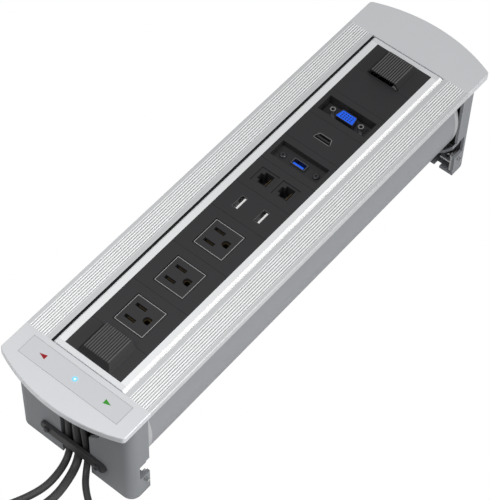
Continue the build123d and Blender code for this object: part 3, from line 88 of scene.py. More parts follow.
camera_data = bpy.data.cameras.new("camera")
camera_data.sensor_fit = "HORIZONTAL"
camera_data.sensor_width = sensor_width
camera_data.lens = focal_pixels / image_width * sensor_width
camera_data.clip_end = far_limit
camera = bpy.data.objects.new("camera", camera_data)
turn = Matrix((camera_right, camera_up, -camera_forward)).transposed().to_4x4()
camera.matrix_world = Matrix.Translation(camera_place) @ turn
scene = bpy.context.scene
scene.collection.objects.link(camera)
scene.camera = camera
scene.view_settings.view_transform = "Standard"
print("lens", round(camera_data.lens, 1), "mm")

# %% [markdown]
# ## Paths of the cords
# Each coil is a chain of points, one each quarter turn, that winds inwards on its
# lower layer and outwards on its upper layer. Two arcs join each pair of points.

# %% Paths of the cords
coil_gap = 0.5
reverse_quarter = 12
climb_share = 1.5
point_radius = 0.001
straight_limit = 1e-6
parallel_limit = 1e-9
mains_diameter = 7.0
hdmi_diameter = 6.0
network_diameter = 5.5
mains_floor = 3.6
hdmi_floor = 3.1
network_floor = 2.85
mains_exit = 21.0
network_lay = 17.85
network_plug_height = 30.85
network_tail_height = 23.85
network_radius = 40.0
hdmi_plug_height = 5.6
hdmi_tail_drop = 24.0


def coil_points(centre, outer_radius, cord, quarters, first_angle, way, height):
    """Points and headings, one each quarter turn, of a coil in two layers."""
    pitch = cord + coil_gap
    chain = []
    for quarter in range(quarters + 1):
        angle = math.radians(first_angle + way * 90 * quarter)
        inward = quarter if quarter <= reverse_quarter else 2 * reverse_quarter - quarter
        radius = outer_radius - inward * pitch / 4
        lift = 0 if quarter < reverse_quarter else pitch
        climb = 0
        drift = -pitch / 4 if quarter < reverse_quarter else pitch / 4
        if quarter == reverse_quarter:
            lift = pitch / 2
            climb = climb_share * pitch / 2
            drift = 0
        if quarter in (0, quarters):
            drift = 0
        outward = Vector((math.cos(angle), math.sin(angle), 0))
        around = Vector((-math.sin(angle), math.cos(angle), 0)) * way
        point = Vector((centre[0], centre[1], height + lift)) + outward * radius
        heading = outward * drift + around * (radius * math.pi / 2) + Vector((0, 0, climb))
        chain.append((point, heading.normalized()))
    return chain


def arc_points(start, heading, end, count):
    """Points along the arc that leaves start along heading and reaches end."""
    reach = end - start
    side = reach - heading * reach.dot(heading)
    if side.length < straight_limit:
        return [start + reach * (n / count) for n in range(count)]
    side.normalize()
    radius = reach.dot(reach) / (2 * reach.dot(side))
    sweep = 2 * math.atan2(reach.dot(side), reach.dot(heading))
    centre = start + side * radius
    points = []
    for n in range(count):
        angle = sweep * n / count
        points.append(centre - side * (radius * math.cos(angle)) + heading * (radius * math.sin(angle)))
    return points


def chain_points(chain, count=3):
    """Points along the pairs of arcs between the chain's points, its last point included."""
    points = []
    for (p0, t0), (p1, t1) in zip(chain, chain[1:]):
        reach = p1 - p0
        if reach.normalized().dot(t0) > 1 - parallel_limit:
            points += [p0 + reach * (n / 2) for n in range(2)]
            continue
        cross = reach.dot(t0 + t1)
        spread = 2 * (1 - t0.dot(t1))
        if spread < parallel_limit:
            arm = reach.dot(reach) / (4 * reach.dot(t0))
        else:
            arm = (math.sqrt(cross ** 2 + spread * reach.dot(reach)) - cross) / spread
        joint_a = p0 + t0 * arm
        joint_b = p1 - t1 * arm
        middle = (joint_a + joint_b) / 2
        points += arc_points(p0, t0, middle, count)
        points += arc_points(middle, (joint_b - joint_a).normalized(), p1, count)
    return points + [chain[-1][0]]


def pushed_out(points):
    """Control points for a spline of order 3 that passes through the given points."""
    spread = [points[0]]
    for before, point, after in zip(points, points[1:], points[2:]):
        spread.append(point - (before - 2 * point + after) / 8)
    return spread + [points[-1]]


def with_straights(chain, start_length, end_length):
    """The chain with a straight stretch at each end, along the end headings."""
    first, last = chain[0], chain[-1]
    start = (first[0] - first[1] * start_length, first[1])
    end = (last[0] + last[1] * end_length, last[1])
    return [start] + chain + [end]


mains_centre = (-308.0, -52.0)
hdmi_centre = (-394.0, 18.0)
mains_radius = 50.75
hdmi_radius = 43.75
mains_coil = coil_points(mains_centre, mains_radius, mains_diameter, 24, 135, 1, mains_floor)
mains_chain = with_straights(mains_coil, mains_diameter, mains_exit)

hdmi_coil = coil_points(hdmi_centre, hdmi_radius, hdmi_diameter, 25, 90, 1, hdmi_floor)
hdmi_chain = with_straights(hdmi_coil, hdmi_diameter, hdmi_diameter)
tail_point, tail_heading = hdmi_chain[-1]
low_tail = Vector((tail_point.x, tail_point.y, hdmi_plug_height)) + tail_heading * hdmi_tail_drop
hdmi_chain += [(low_tail, tail_heading), (low_tail + tail_heading * hdmi_diameter, tail_heading)]

# The network cord climbs over its own coil to its plug: each row gives the share of a
# quarter turn, the inset, the share of the rise, the drift and the climb
network_chain = coil_points(mains_centre, network_radius, network_diameter, 24, -90, -1, network_lay)
tail_rise = network_plug_height - network_chain[-1][0].z
for share, inset, lift, drift, climb in ((0.5, 0, 0.6, -1.75, 1), (1.0, 3.5, 1.0, -9.0, 0)):
    angle = math.radians(-90 - 90 * share)
    outward = Vector((math.cos(angle), math.sin(angle), 0))
    around = Vector((math.sin(angle), -math.cos(angle), 0))
    reach = network_radius - inset
    level = network_tail_height + lift * tail_rise
    point = Vector((mains_centre[0], mains_centre[1], level)) + outward * reach
    heading = outward * drift + around * (reach * math.pi / 2) + Vector((0, 0, climb * tail_rise))
    network_chain.append((point, heading.normalized()))
network_chain = with_straights(network_chain, network_diameter, network_diameter)

mains_route = [
    (-190, 0, 71.3), (-209.65, 0.1, 71.3), (-209.7, -0.4, 48), (-209.65, -0.9, 27),
    (-209.7, -1.4, 11.5),
    (-217.5, -4.5, mains_floor), (-231, -8.3, mains_floor), (-247, -10.6, mains_floor),
    (-263, -8, mains_floor), (-281, 1, mains_floor), (-297, 6, mains_floor),
    (-312.5, 6.5, mains_floor), (-326.9, 0.87, mains_floor),
]
hdmi_route = [
    (-190, 5.3, 64.8), (-209.9, 6.5, 64.8), (-209.9, 7.6, 42), (-209.8, 8.2, 25), (-209.9, 7.6, 11),
    (-217, 5, hdmi_floor), (-230, 1.5, hdmi_floor), (-246, 0.8, hdmi_floor), (-263, 6, hdmi_floor),
    (-281, 15, hdmi_floor), (-302, 27, hdmi_floor), (-326, 41, hdmi_floor),
    (-350, 54.5, hdmi_floor), (-371, 61.75, hdmi_floor),
]
network_route = [
    (-190, -5.6, 65.2), (-209.9, -6.8, 65.2), (-209.9, -8.6, 42), (-209.8, -9.6, 25), (-209.9, -10, 11),
    (-216.5, -13.5, network_floor), (-226, -21, network_floor), (-236, -34, network_floor),
    (-243, -50, network_floor), (-249, -66, 6.5), (-258, -82, 14), (-271, -91, 18),
    (-287, -92, network_lay),
]
print("coil chains", len(mains_chain), len(hdmi_chain), len(network_chain))

# %% [markdown]
# ## The cords
# Each cord is one smooth curve from its exit to its plug. The frame's own lead and
# coil stay hidden under it. The cord's whole length is real, the unseen part coiled.
# A curve's box grows by its points' radius, so that is small and the depth is large:
# their product is half the cord's diameter.

# %% The cords


def make_cord(name, route, chain, diameter):
    """One cord as an open spline, which stands for its lead and its coil."""
    points = [Vector(point) for point in route] + pushed_out(chain_points(chain))
    curve = bpy.data.curves.new(name, "CURVE")
    curve.dimensions = "3D"
    curve.bevel_depth = diameter / 2 * mm / point_radius
    curve.bevel_resolution = 5
    curve.resolution_u = 6
    curve.use_fill_caps = True
    spline = curve.splines.new("NURBS")
    spline.points.add(len(points) - 1)
    for place, point in zip(spline.points, points):
        place.co = (point.x * mm, point.y * mm, point.z * mm, 1.0)
        place.radius = point_radius
    spline.order_u = 3
    spline.use_endpoint_u = True
    cord = bpy.data.objects.new(name, curve)
    scene.collection.objects.link(cord)
    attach(cord, "frame")
    word = name.split("_")[0]
    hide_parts(f"{word}_lead", f"{word}_coil")
    return cord


mains_cord = make_cord(
    "mains_cord", mains_route, mains_chain, mains_diameter,
)
hdmi_cord = make_cord(
    "hdmi_cord", hdmi_route, hdmi_chain, hdmi_diameter,
)
network_cord = make_cord(
    "network_cord", network_route, network_chain, network_diameter,
)
cords = [mains_cord, hdmi_cord, network_cord]
print("cords", [len(cord.data.splines[0].points) for cord in cords])

# %% [markdown]
# ## Floor and light
# The floor and the world are plain white to the camera and pale to everything else, so
# the metal has something even to reflect. A broad light stands on the viewer's right, a
# small one hangs over the near end, and another broad one hangs high over the socket.

# %% Floor and light


def new_material(name):
    """An empty node material, with its tree and its output."""
    material = bpy.data.materials.new(name)
    material.use_nodes = True
    tree = material.node_tree
    tree.nodes.clear()
    output = tree.nodes.new("ShaderNodeOutputMaterial")
    return material, tree, output


def white_to_camera(tree, plain, white, target):
    """Feed a socket with one shader for camera rays and another for all other rays."""
    rays = tree.nodes.new("ShaderNodeLightPath")
    choice = tree.nodes.new("ShaderNodeMixShader")
    tree.links.new(rays.outputs["Is Camera Ray"], choice.inputs["Fac"])
    tree.links.new(plain, choice.inputs[1])
    tree.links.new(white, choice.inputs[2])
    tree.links.new(choice.outputs["Shader"], target)


def make_floor():
    """A wide plane under the brackets."""
    mesh = bpy.data.meshes.new("floor")
    half = 6.0
    corners = [(-half, -half, 0), (half, -half, 0), (half, half, 0), (-half, half, 0)]
    mesh.from_pydata(corners, [], [(0, 1, 2, 3)])
    floor = bpy.data.objects.new("floor", mesh)
    scene.collection.objects.link(floor)
    material, tree, output = new_material("floor_white")
    matt = tree.nodes.new("ShaderNodeBsdfDiffuse")
    matt.inputs["Color"].default_value = (0.8, 0.8, 0.8, 1)
    glow = tree.nodes.new("ShaderNodeEmission")
    glow.inputs["Color"].default_value = (1, 1, 1, 1)
    glow.inputs["Strength"].default_value = 1.0
    white_to_camera(tree, matt.outputs["BSDF"], glow.outputs["Emission"], output.inputs["Surface"])
    mesh.materials.append(material)


def add_light(name, place, target, size, power):
    """A square area light that faces a target."""
    data = bpy.data.lights.new(name, "AREA")
    data.size = size
    data.energy = power
    light = bpy.data.objects.new(name, data)
    direction = Vector(target) - Vector(place)
    light.rotation_euler = direction.to_track_quat("-Z", "Y").to_euler()
    light.location = place
    scene.collection.objects.link(light)


make_floor()
centre = (0, 0, 0.1)
add_light("right_light", (0.1, -1.8, 0.75), centre, 1.0, 16)
add_light("near_light", (-0.5, 0.2, 0.95), (-0.3, 0, 0.1), 0.5, 4.2)
add_light("top_light", (-0.2, -0.5, 2.2), centre, 1.2, 17)

world = bpy.data.worlds.new("studio")
world.use_nodes = True
scene.world = world
sky = world.node_tree
backdrop = sky.nodes["Background"]
backdrop.inputs["Color"].default_value = (1, 1, 1, 1)
backdrop.inputs["Strength"].default_value = 0.3
seen_sky = sky.nodes.new("ShaderNodeBackground")
seen_sky.inputs["Color"].default_value = (1, 1, 1, 1)
seen_sky.inputs["Strength"].default_value = 1.0
sky_surface = sky.nodes["World Output"].inputs["Surface"]
white_to_camera(sky, backdrop.outputs["Background"], seen_sky.outputs["Background"], sky_surface)

# %% [markdown]
# ## Shared effects
# Three node groups give the finishes their grain: even, drawn along the socket, or
# turned. Each takes the object's own coordinates and gives a varying colour, a varying
# roughness and a normal.

# %% Shared effects


def new_group(name, inputs, outputs):
    """A shader node group with named sockets, its tree, its entry and its exit."""
    group = bpy.data.node_groups.new(name, "ShaderNodeTree")
    for label, kind, value in inputs:
        socket = group.interface.new_socket(label, in_out="INPUT", socket_type=kind)
        socket.default_value = value
    for label, kind in outputs:
        group.interface.new_socket(label, in_out="OUTPUT", socket_type=kind)
    entry = group.nodes.new("NodeGroupInput")
    leave = group.nodes.new("NodeGroupOutput")
    return group, entry, leave


def feed(tree, place, value):
    """Give an input a number, or link it to a socket."""
    if isinstance(value, (int, float)):
        place.default_value = value
    else:
        tree.links.new(value, place)


def maths(tree, operation, *values):
    """A maths node on sockets or numbers, as its output socket."""
    node = tree.nodes.new("ShaderNodeMath")
    node.operation = operation
    for place, value in zip(node.inputs, values):
        feed(tree, place, value)
    return node.outputs["Value"]


def link_range(tree, value, low, high):
    """A 0 to 1 value spread between two sockets or numbers, as an output socket."""
    spread = tree.nodes.new("ShaderNodeMapRange")
    tree.links.new(value, spread.inputs["Value"])
    feed(tree, spread.inputs["To Min"], low)
    feed(tree, spread.inputs["To Max"], high)
    return spread.outputs["Result"]


grain_inputs = [
    ("Colour", "NodeSocketColor", (0.5, 0.5, 0.5, 1)),
    ("Shift", "NodeSocketFloat", 0.04),
    ("Roughness low", "NodeSocketFloat", 0.4),
    ("Roughness high", "NodeSocketFloat", 0.5),
    ("Scale", "NodeSocketFloat", 600.0),
    ("Relief", "NodeSocketFloat", 0.1),
]
grain_outputs = [
    ("Colour", "NodeSocketColor"),
    ("Roughness", "NodeSocketFloat"),
    ("Normal", "NodeSocketVector"),
]
broad_scale = 14.0
fine_share = 0.6
bump_distance = 0.05 * mm


def make_grain_group(name, stretch):
    """Noise in the object's own coordinates, stretched along the axes."""
    group, entry, leave = new_group(name, grain_inputs, grain_outputs)
    place = group.nodes.new("ShaderNodeTexCoord")
    mapping = group.nodes.new("ShaderNodeMapping")
    mapping.inputs["Scale"].default_value = stretch
    group.links.new(place.outputs["Object"], mapping.inputs["Vector"])
    fine = group.nodes.new("ShaderNodeTexNoise")
    fine.inputs["Detail"].default_value = 3.0
    group.links.new(mapping.outputs["Vector"], fine.inputs["Vector"])
    group.links.new(entry.outputs["Scale"], fine.inputs["Scale"])
    broad = group.nodes.new("ShaderNodeTexNoise")
    broad.inputs["Scale"].default_value = broad_scale
    group.links.new(place.outputs["Object"], broad.inputs["Vector"])
    broad_part = maths(group, "MULTIPLY", broad.outputs["Fac"], 1 - fine_share)
    both = maths(group, "MULTIPLY_ADD", fine.outputs["Fac"], fine_share, broad_part)
    low = maths(group, "SUBTRACT", 1.0, entry.outputs["Shift"])
    high = maths(group, "ADD", 1.0, entry.outputs["Shift"])
    value = link_range(group, both, low, high)
    tint = group.nodes.new("ShaderNodeVectorMath")
    tint.operation = "SCALE"
    group.links.new(entry.outputs["Colour"], tint.inputs["Vector"])
    group.links.new(value, tint.inputs["Scale"])
    group.links.new(tint.outputs["Vector"], leave.inputs["Colour"])
    rough = link_range(group, both, entry.outputs["Roughness low"], entry.outputs["Roughness high"])
    group.links.new(rough, leave.inputs["Roughness"])
    bump = group.nodes.new("ShaderNodeBump")
    bump.inputs["Distance"].default_value = bump_distance
    group.links.new(entry.outputs["Relief"], bump.inputs["Strength"])
    group.links.new(fine.outputs["Fac"], bump.inputs["Height"])
    group.links.new(bump.outputs["Normal"], leave.inputs["Normal"])
    return group


moulded_grain = make_grain_group("moulded_grain", (1, 1, 1))
drawn_grain = make_grain_group("drawn_grain", (0.02, 1, 1))
turned_grain = make_grain_group("turned_grain", (1, 0.15, 0.15))
print("groups", [group.name for group in bpy.data.node_groups])

# %% [markdown]
# ## Finishes
# Each slot of the record has a finish here but the status light, and so have the marks,
# the painted shade of holes and recesses, the painted edge highlights and some single
# pieces. A row gives the colour, how metallic it is, its lowest and highest roughness,
# the grain it uses, the grain's scale, its relief and how far the colour shifts.

# %% Finishes
finish_rows = {
    "aluminium_rail": ((0.60, 0.61, 0.62), 0.3, 0.34, 0.44, drawn_grain, 1800, 0.06, 0.012),
    "cast_cap": ((0.66, 0.67, 0.68), 0.7, 0.38, 0.5, moulded_grain, 1200, 0.15, 0.04),
    "painted_cover": ((0.68, 0.69, 0.71), 0.35, 0.36, 0.46, moulded_grain, 1500, 0.12, 0.02),
    "painted_bracket": ((0.24, 0.25, 0.265), 0.0, 0.5, 0.62, moulded_grain, 700, 0.25, 0.04),
    "black_bracket": ((0.022, 0.022, 0.024), 0.0, 0.45, 0.6, moulded_grain, 900, 0.3, 0.08),
    "bush_plastic": ((0.72, 0.70, 0.64), 0.0, 0.4, 0.5, turned_grain, 900, 0.15, 0.04),
    "touch_film": ((0.56, 0.57, 0.59), 0.1, 0.26, 0.32, moulded_grain, 800, 0.05, 0.015),
    "circuit_board": ((0.015, 0.12, 0.05), 0.0, 0.3, 0.42, moulded_grain, 400, 0.2, 0.15),
    "steel": ((0.58, 0.58, 0.58), 1.0, 0.24, 0.4, turned_grain, 1500, 0.12, 0.06),
    "dark_steel": ((0.10, 0.10, 0.11), 0.9, 0.3, 0.45, turned_grain, 1500, 0.12, 0.08),
    "gear_plastic": ((0.74, 0.72, 0.66), 0.0, 0.4, 0.55, turned_grain, 900, 0.15, 0.04),
    "panel_black": ((0.017, 0.017, 0.019), 0.0, 0.46, 0.58, moulded_grain, 1600, 0.22, 0.08),
    "brass_contact": ((0.72, 0.52, 0.22), 1.0, 0.25, 0.4, turned_grain, 1200, 0.1, 0.06),
    "white_plastic": ((0.78, 0.78, 0.77), 0.0, 0.4, 0.5, moulded_grain, 900, 0.1, 0.02),
    "bright_blue": ((0.006, 0.11, 0.84), 0.0, 0.36, 0.46, moulded_grain, 900, 0.1, 0.05),
    "cord_black": ((0.035, 0.035, 0.037), 0.0, 0.48, 0.62, moulded_grain, 1400, 0.2, 0.08),
    "mark_red": ((0.27, 0.0005, 0.004), 0.0, 0.34, 0.42, moulded_grain, 900, 0.05, 0.03),
    "mark_green": ((0.03, 0.26, 0.015), 0.0, 0.34, 0.42, moulded_grain, 900, 0.05, 0.03),
    "mark_line": ((0.46, 0.47, 0.48), 0.0, 0.34, 0.42, moulded_grain, 900, 0.05, 0.03),
    # Painted shade of holes and recesses.
    "recess_shade": ((0.006, 0.006, 0.007), 0.0, 0.6, 0.8, moulded_grain, 900, 0.2, 0.1),
    "socket_steel": ((0.30, 0.30, 0.31), 1.0, 0.3, 0.42, moulded_grain, 1200, 0.1, 0.05),
    # Brass darkened as painted shade, for contacts deep in the outlets' slots.
    "shaded_brass": ((0.09, 0.065, 0.03), 1.0, 0.4, 0.55, turned_grain, 1200, 0.1, 0.06),
    # Painted highlight for lit edges.
    "edge_highlight": ((0.50, 0.50, 0.50), 0.2, 0.3, 0.4, moulded_grain, 1200, 0.05, 0.03),
    "far_cover": ((0.68, 0.69, 0.71), 0.35, 0.38, 0.48, moulded_grain, 1500, 0.12, 0.02),
}


def make_finish(name, row):
    """A Principled material whose colour, roughness and normal come from a grain."""
    colour, metallic, low, high, grain, scale, relief, shift = row
    material, tree, output = new_material(name)
    effect = tree.nodes.new("ShaderNodeGroup")
    effect.node_tree = grain
    effect.inputs["Colour"].default_value = (*colour, 1)
    values = {
        "Shift": shift, "Roughness low": low, "Roughness high": high, "Scale": scale, "Relief": relief,
    }
    for label, value in values.items():
        effect.inputs[label].default_value = value
    surface = tree.nodes.new("ShaderNodeBsdfPrincipled")
    surface.inputs["Metallic"].default_value = metallic
    tree.links.new(effect.outputs["Colour"], surface.inputs["Base Color"])
    tree.links.new(effect.outputs["Roughness"], surface.inputs["Roughness"])
    tree.links.new(effect.outputs["Normal"], surface.inputs["Normal"])
    tree.links.new(surface.outputs["BSDF"], output.inputs["Surface"])
    return material


finishes = {name: make_finish(name, row) for name, row in finish_rows.items()}

# %% [markdown]
# ## Painted highlights and shade on ribs and edges
# A shared group gives the crowns of fine ribs that run along X, 1 on a crown and 0 in
# the groove beside it, and the band that they lie in, for a painted highlight on the
# crowns and painted shade in the grooves. Another gives a band between two values of Y
# above a height, and everything above that height, for painted highlights, reflections
# and shade on edges and tops.

# %% Painted highlights and shade on ribs and edges


def make_rib_group():
    """Crowns of ribs at a pitch round a middle line, inside a half width."""
    sizes = [
        ("Middle", "NodeSocketFloat", 0.0484),
        ("Pitch", "NodeSocketFloat", 0.00205),
        ("Half width", "NodeSocketFloat", 0.0082),
        ("Lowest", "NodeSocketFloat", 0.109),
    ]
    masks = [("Crown", "NodeSocketFloat"), ("Band", "NodeSocketFloat")]
    group, entry, leave = new_group("rib_mask", sizes, masks)
    place = group.nodes.new("ShaderNodeTexCoord")
    split = group.nodes.new("ShaderNodeSeparateXYZ")
    group.links.new(place.outputs["Object"], split.inputs["Vector"])
    side = maths(group, "ABSOLUTE", split.outputs["Y"])
    offset = maths(group, "SUBTRACT", side, entry.outputs["Middle"])
    phase = maths(group, "DIVIDE", offset, entry.outputs["Pitch"])
    wave = maths(group, "COSINE", maths(group, "MULTIPLY", phase, 2 * math.pi))
    crown = maths(group, "MULTIPLY_ADD", wave, 0.5, 0.5)
    inside = maths(group, "LESS_THAN", maths(group, "ABSOLUTE", offset), entry.outputs["Half width"])
    above = maths(group, "GREATER_THAN", split.outputs["Z"], entry.outputs["Lowest"])
    group.links.new(crown, leave.inputs["Crown"])
    group.links.new(maths(group, "MULTIPLY", inside, above), leave.inputs["Band"])
    return group


def make_band_group():
    """A band between two values of Y, above a height."""
    sizes = [
        ("From", "NodeSocketFloat", -0.0366),
        ("To", "NodeSocketFloat", -0.0326),
        ("Lowest", "NodeSocketFloat", 0.107),
    ]
    masks = [("Band", "NodeSocketFloat"), ("Top", "NodeSocketFloat")]
    group, entry, leave = new_group("band_mask", sizes, masks)
    place = group.nodes.new("ShaderNodeTexCoord")
    split = group.nodes.new("ShaderNodeSeparateXYZ")
    group.links.new(place.outputs["Object"], split.inputs["Vector"])
    after = maths(group, "GREATER_THAN", split.outputs["Y"], entry.outputs["From"])
    before = maths(group, "LESS_THAN", split.outputs["Y"], entry.outputs["To"])
    above = maths(group, "GREATER_THAN", split.outputs["Z"], entry.outputs["Lowest"])
    both = maths(group, "MULTIPLY", after, before)
    group.links.new(maths(group, "MULTIPLY", both, above), leave.inputs["Band"])
    group.links.new(above, leave.inputs["Top"])
    return group


rib_group = make_rib_group()
band_group = make_band_group()


def mixed(tree, factor, first, second):
    """A colour between two, as its output socket; each is a socket or three numbers."""
    mix = tree.nodes.new("ShaderNodeMix")
    mix.data_type = "RGBA"
    tree.links.new(factor, mix.inputs["Factor"])
    colour_inputs = [place for place in mix.inputs if place.type == "RGBA"]
    for place, value in zip(colour_inputs, (first, second)):
        if isinstance(value, tuple):
            place.default_value = (*value, 1)
        else:
            tree.links.new(value, place)
    return [place for place in mix.outputs if place.type == "RGBA"][0]


def base_colour(material):
    """The material's surface node and the socket that feeds its colour."""
    surface = [node for node in material.node_tree.nodes if node.type == "BSDF_PRINCIPLED"][0]
    return surface, surface.inputs["Base Color"].links[0].from_socket


def ribbed(name, row, middle, half_width, lowest, crown_highlight, groove_shade, side_shade=None):
    """A finish with a painted highlight on the crowns and painted shade in the grooves of its ribbed
    band, and, if given, a painted dark shade on everything above a height.
    """
    material = make_finish(name, row)
    tree = material.node_tree
    surface, plain = base_colour(material)
    mask = tree.nodes.new("ShaderNodeGroup")
    mask.node_tree = rib_group
    for label, value in (("Middle", middle), ("Half width", half_width), ("Lowest", lowest)):
        mask.inputs[label].default_value = value
    sharp = tree.nodes.new("ShaderNodeMapRange")
    sharp.interpolation_type = "SMOOTHSTEP"
    sharp.inputs["From Min"].default_value = 0.25
    sharp.inputs["From Max"].default_value = 0.75
    tree.links.new(mask.outputs["Crown"], sharp.inputs["Value"])
    rib_highlight_and_shade = mixed(tree, sharp.outputs["Result"], groove_shade, crown_highlight)
    if side_shade:
        height = tree.nodes.new("ShaderNodeGroup")
        height.node_tree = band_group
        height.inputs["Lowest"].default_value = top_height + hood_margin
        plain = mixed(tree, height.outputs["Top"], plain, side_shade)
    tree.links.new(mixed(tree, mask.outputs["Band"], plain, rib_highlight_and_shade), surface.inputs["Base Color"])
    return material


hood_margin = 0.3 * mm
# Painted near-black shade for the hoods' sides above the panel.
hood_side_shade = (0.004, 0.004, 0.005)
rail_band = (48.4 * mm, 8.2 * mm, 109.0 * mm)
hood_band = (1.025 * mm, 12.3 * mm, 115.0 * mm)
# The rails' ribs: a painted white highlight on each crown and a painted grey shade in each groove.
finishes["ribbed_rail"] = ribbed(
    "ribbed_rail", finish_rows["aluminium_rail"], *rail_band, (1.0, 1.0, 1.0), (0.43, 0.44, 0.45)
)
# The hoods: a painted highlight on the rib crowns, painted shade in the grooves and painted shade on the
# sides. The far hood's painted highlight is a little brighter and its painted groove shade darker than
# the near hood's.
finishes["near_hood"] = ribbed(
    "near_hood", finish_rows["panel_black"], *hood_band,
    (0.075, 0.075, 0.075), (0.008, 0.008, 0.009), hood_side_shade,
)
finishes["far_hood"] = ribbed(
    "far_hood", finish_rows["panel_black"], *hood_band,
    (0.09, 0.09, 0.09), (0.006, 0.006, 0.007), hood_side_shade,
)

# Painted shade: a dark band on the lips past the bevel on the +Y side.
lip_shade = (0.03, 0.03, 0.032)
lip_shade_from = 33.6 * mm
lip_shade_to = 40.0 * mm
bevel_metallic = 0.05
lid_height = 21.5 * mm
lid_depth = 0.4 * mm
lid_colour = (0.62, 0.63, 0.64)


def banded(name, row, top_highlight, bevel_reflection):
    """A finish whose base colour is the sides' painted shade, with a painted highlight on the lips' top,
    a painted white reflection on the bevel along the viewer's side of the drum, a painted dark shade on a
    band past the other bevel, and a pale lid in plain aluminium.
    """
    material = make_finish(name, row)
    tree = material.node_tree
    surface, plain = base_colour(material)
    mask = tree.nodes.new("ShaderNodeGroup")
    mask.node_tree = band_group
    shade = tree.nodes.new("ShaderNodeGroup")
    shade.node_tree = band_group
    shade.inputs["From"].default_value = lip_shade_from
    shade.inputs["To"].default_value = lip_shade_to
    place = tree.nodes.new("ShaderNodeTexCoord")
    height = tree.nodes.new("ShaderNodeSeparateXYZ")
    tree.links.new(place.outputs["Object"], height.inputs["Vector"])
    under = maths(tree, "LESS_THAN", height.outputs["Z"], lid_height + lid_depth)
    plain = mixed(tree, under, plain, lid_colour)
    lips = mixed(tree, mask.outputs["Top"], plain, top_highlight)
    lips = mixed(tree, shade.outputs["Band"], lips, lip_shade)
    tree.links.new(mixed(tree, mask.outputs["Band"], lips, bevel_reflection), surface.inputs["Base Color"])
    shine = link_range(tree, mask.outputs["Band"], row[1], bevel_metallic)
    tree.links.new(shine, surface.inputs["Metallic"])
    return material


# The drum's side colour is a painted shade, darker than the rails' aluminium; on the drum and its caps
# the top is lighter as a painted highlight and the -Y bevel white as a painted reflection.
drum_shade_row = ((0.33, 0.34, 0.36), 0.5, 0.36, 0.46, drawn_grain, 1800, 0.06, 0.012)
finishes["drum_skin"] = banded("drum_skin", drum_shade_row, (0.95, 0.96, 0.97), (1.0, 1.0, 1.0))
cap_row = ((0.52, 0.53, 0.54), 0.5, 0.38, 0.5, moulded_grain, 1200, 0.15, 0.03)
finishes["drum_cap"] = banded("drum_cap", cap_row, (0.82, 0.83, 0.85), (1.0, 1.0, 1.0))

# %% [markdown]
# ## The status light
# The ring, the core inside it and the halo round it each fade from their inner edge to
# their outer edge. The ring and the core glow; the halo is painted glow, a tint of their
# light on the film with no light of its own.

# %% The status light


def make_light_guide(name, inner, outer, middle, edge, strength):
    """A material that fades with the distance from the ring's centre, and may glow."""
    material, tree, output = new_material(name)
    place = tree.nodes.new("ShaderNodeTexCoord")
    offset = tree.nodes.new("ShaderNodeVectorMath")
    offset.operation = "SUBTRACT"
    offset.inputs[1].default_value = (inlay_x, 0, top_height)
    tree.links.new(place.outputs["Object"], offset.inputs[0])
    reach = tree.nodes.new("ShaderNodeVectorMath")
    reach.operation = "LENGTH"
    tree.links.new(offset.outputs["Vector"], reach.inputs[0])
    spread = tree.nodes.new("ShaderNodeMapRange")
    spread.inputs["From Min"].default_value = inner
    spread.inputs["From Max"].default_value = outer
    tree.links.new(reach.outputs["Value"], spread.inputs["Value"])
    tint = tree.nodes.new("ShaderNodeMix")
    tint.data_type = "RGBA"
    tree.links.new(spread.outputs["Result"], tint.inputs["Factor"])
    tint.inputs["A"].default_value = (*middle, 1)
    tint.inputs["B"].default_value = (*edge, 1)
    surface = tree.nodes.new("ShaderNodeBsdfPrincipled")
    surface.inputs["Roughness"].default_value = 0.3
    surface.inputs["Emission Strength"].default_value = strength
    result = [output_socket for output_socket in tint.outputs if output_socket.type == "RGBA"][0]
    tree.links.new(result, surface.inputs["Base Color"])
    tree.links.new(result, surface.inputs["Emission Color"])
    tree.links.new(surface.outputs["BSDF"], output.inputs["Surface"])
    return material


core_start = 0.2 * mm
ring_inner = 1.0 * mm
ring_outer = 1.75 * mm
halo_outer = 3.0 * mm
finishes["status_light"] = make_light_guide(
    "status_light", ring_inner, ring_outer, (0.25, 0.70, 1.0), (0.04, 0.42, 0.80), 0.35
)
# Painted glow: the halo tints the film round the light, blue fading to grey, with no emission.
painted_halo_glow = make_light_guide(
    "status_halo", ring_outer, halo_outer, (0.36, 0.64, 0.80), (0.56, 0.58, 0.60), 0.0
)
core_light = make_light_guide(
    "status_core", core_start, ring_inner, (0.9, 0.97, 1.0), (0.45, 0.80, 1.0), 0.25
)

# %% [markdown]
# ## Dress the frame
# Each node of the frame takes the finish of its slot, or one of its own.

# %% Dress the frame
own_finish = {
    "left_rail": "ribbed_rail", "right_rail": "ribbed_rail", "drum_shell": "drum_skin",
    "near_end_cap": "drum_cap", "far_end_cap": "drum_cap", "near_hood_plate": "near_hood",
    "far_hood_plate": "far_hood", "outlet_contacts": "shaded_brass", "clamp_bar_screws": "dark_steel",
    "usb_charger_shells": "socket_steel", "usb3_shell": "socket_steel", "far_end_plate": "far_cover",
}
dressed = 0
for row in frame["record"]["subparts"]:
    piece = nodes[row["node"]]
    finish = finishes[own_finish.get(row["node"], row["material_slot"])]
    for place in piece.material_slots:
        place.link = "OBJECT"
        place.material = finish
    dressed += 1
for cord in cords:
    cord.data.materials.append(finishes["cord_black"])
print(dressed, "nodes dressed")

# %% [markdown]
# ## Marks on the touch strip
# Two plain arrows and a thin line are printed on the film, and a halo of painted glow and
# a core lie round and inside the status light. Each is a thin solid that stands two
# hundredths of a millimetre proud.

# %% Marks on the touch strip


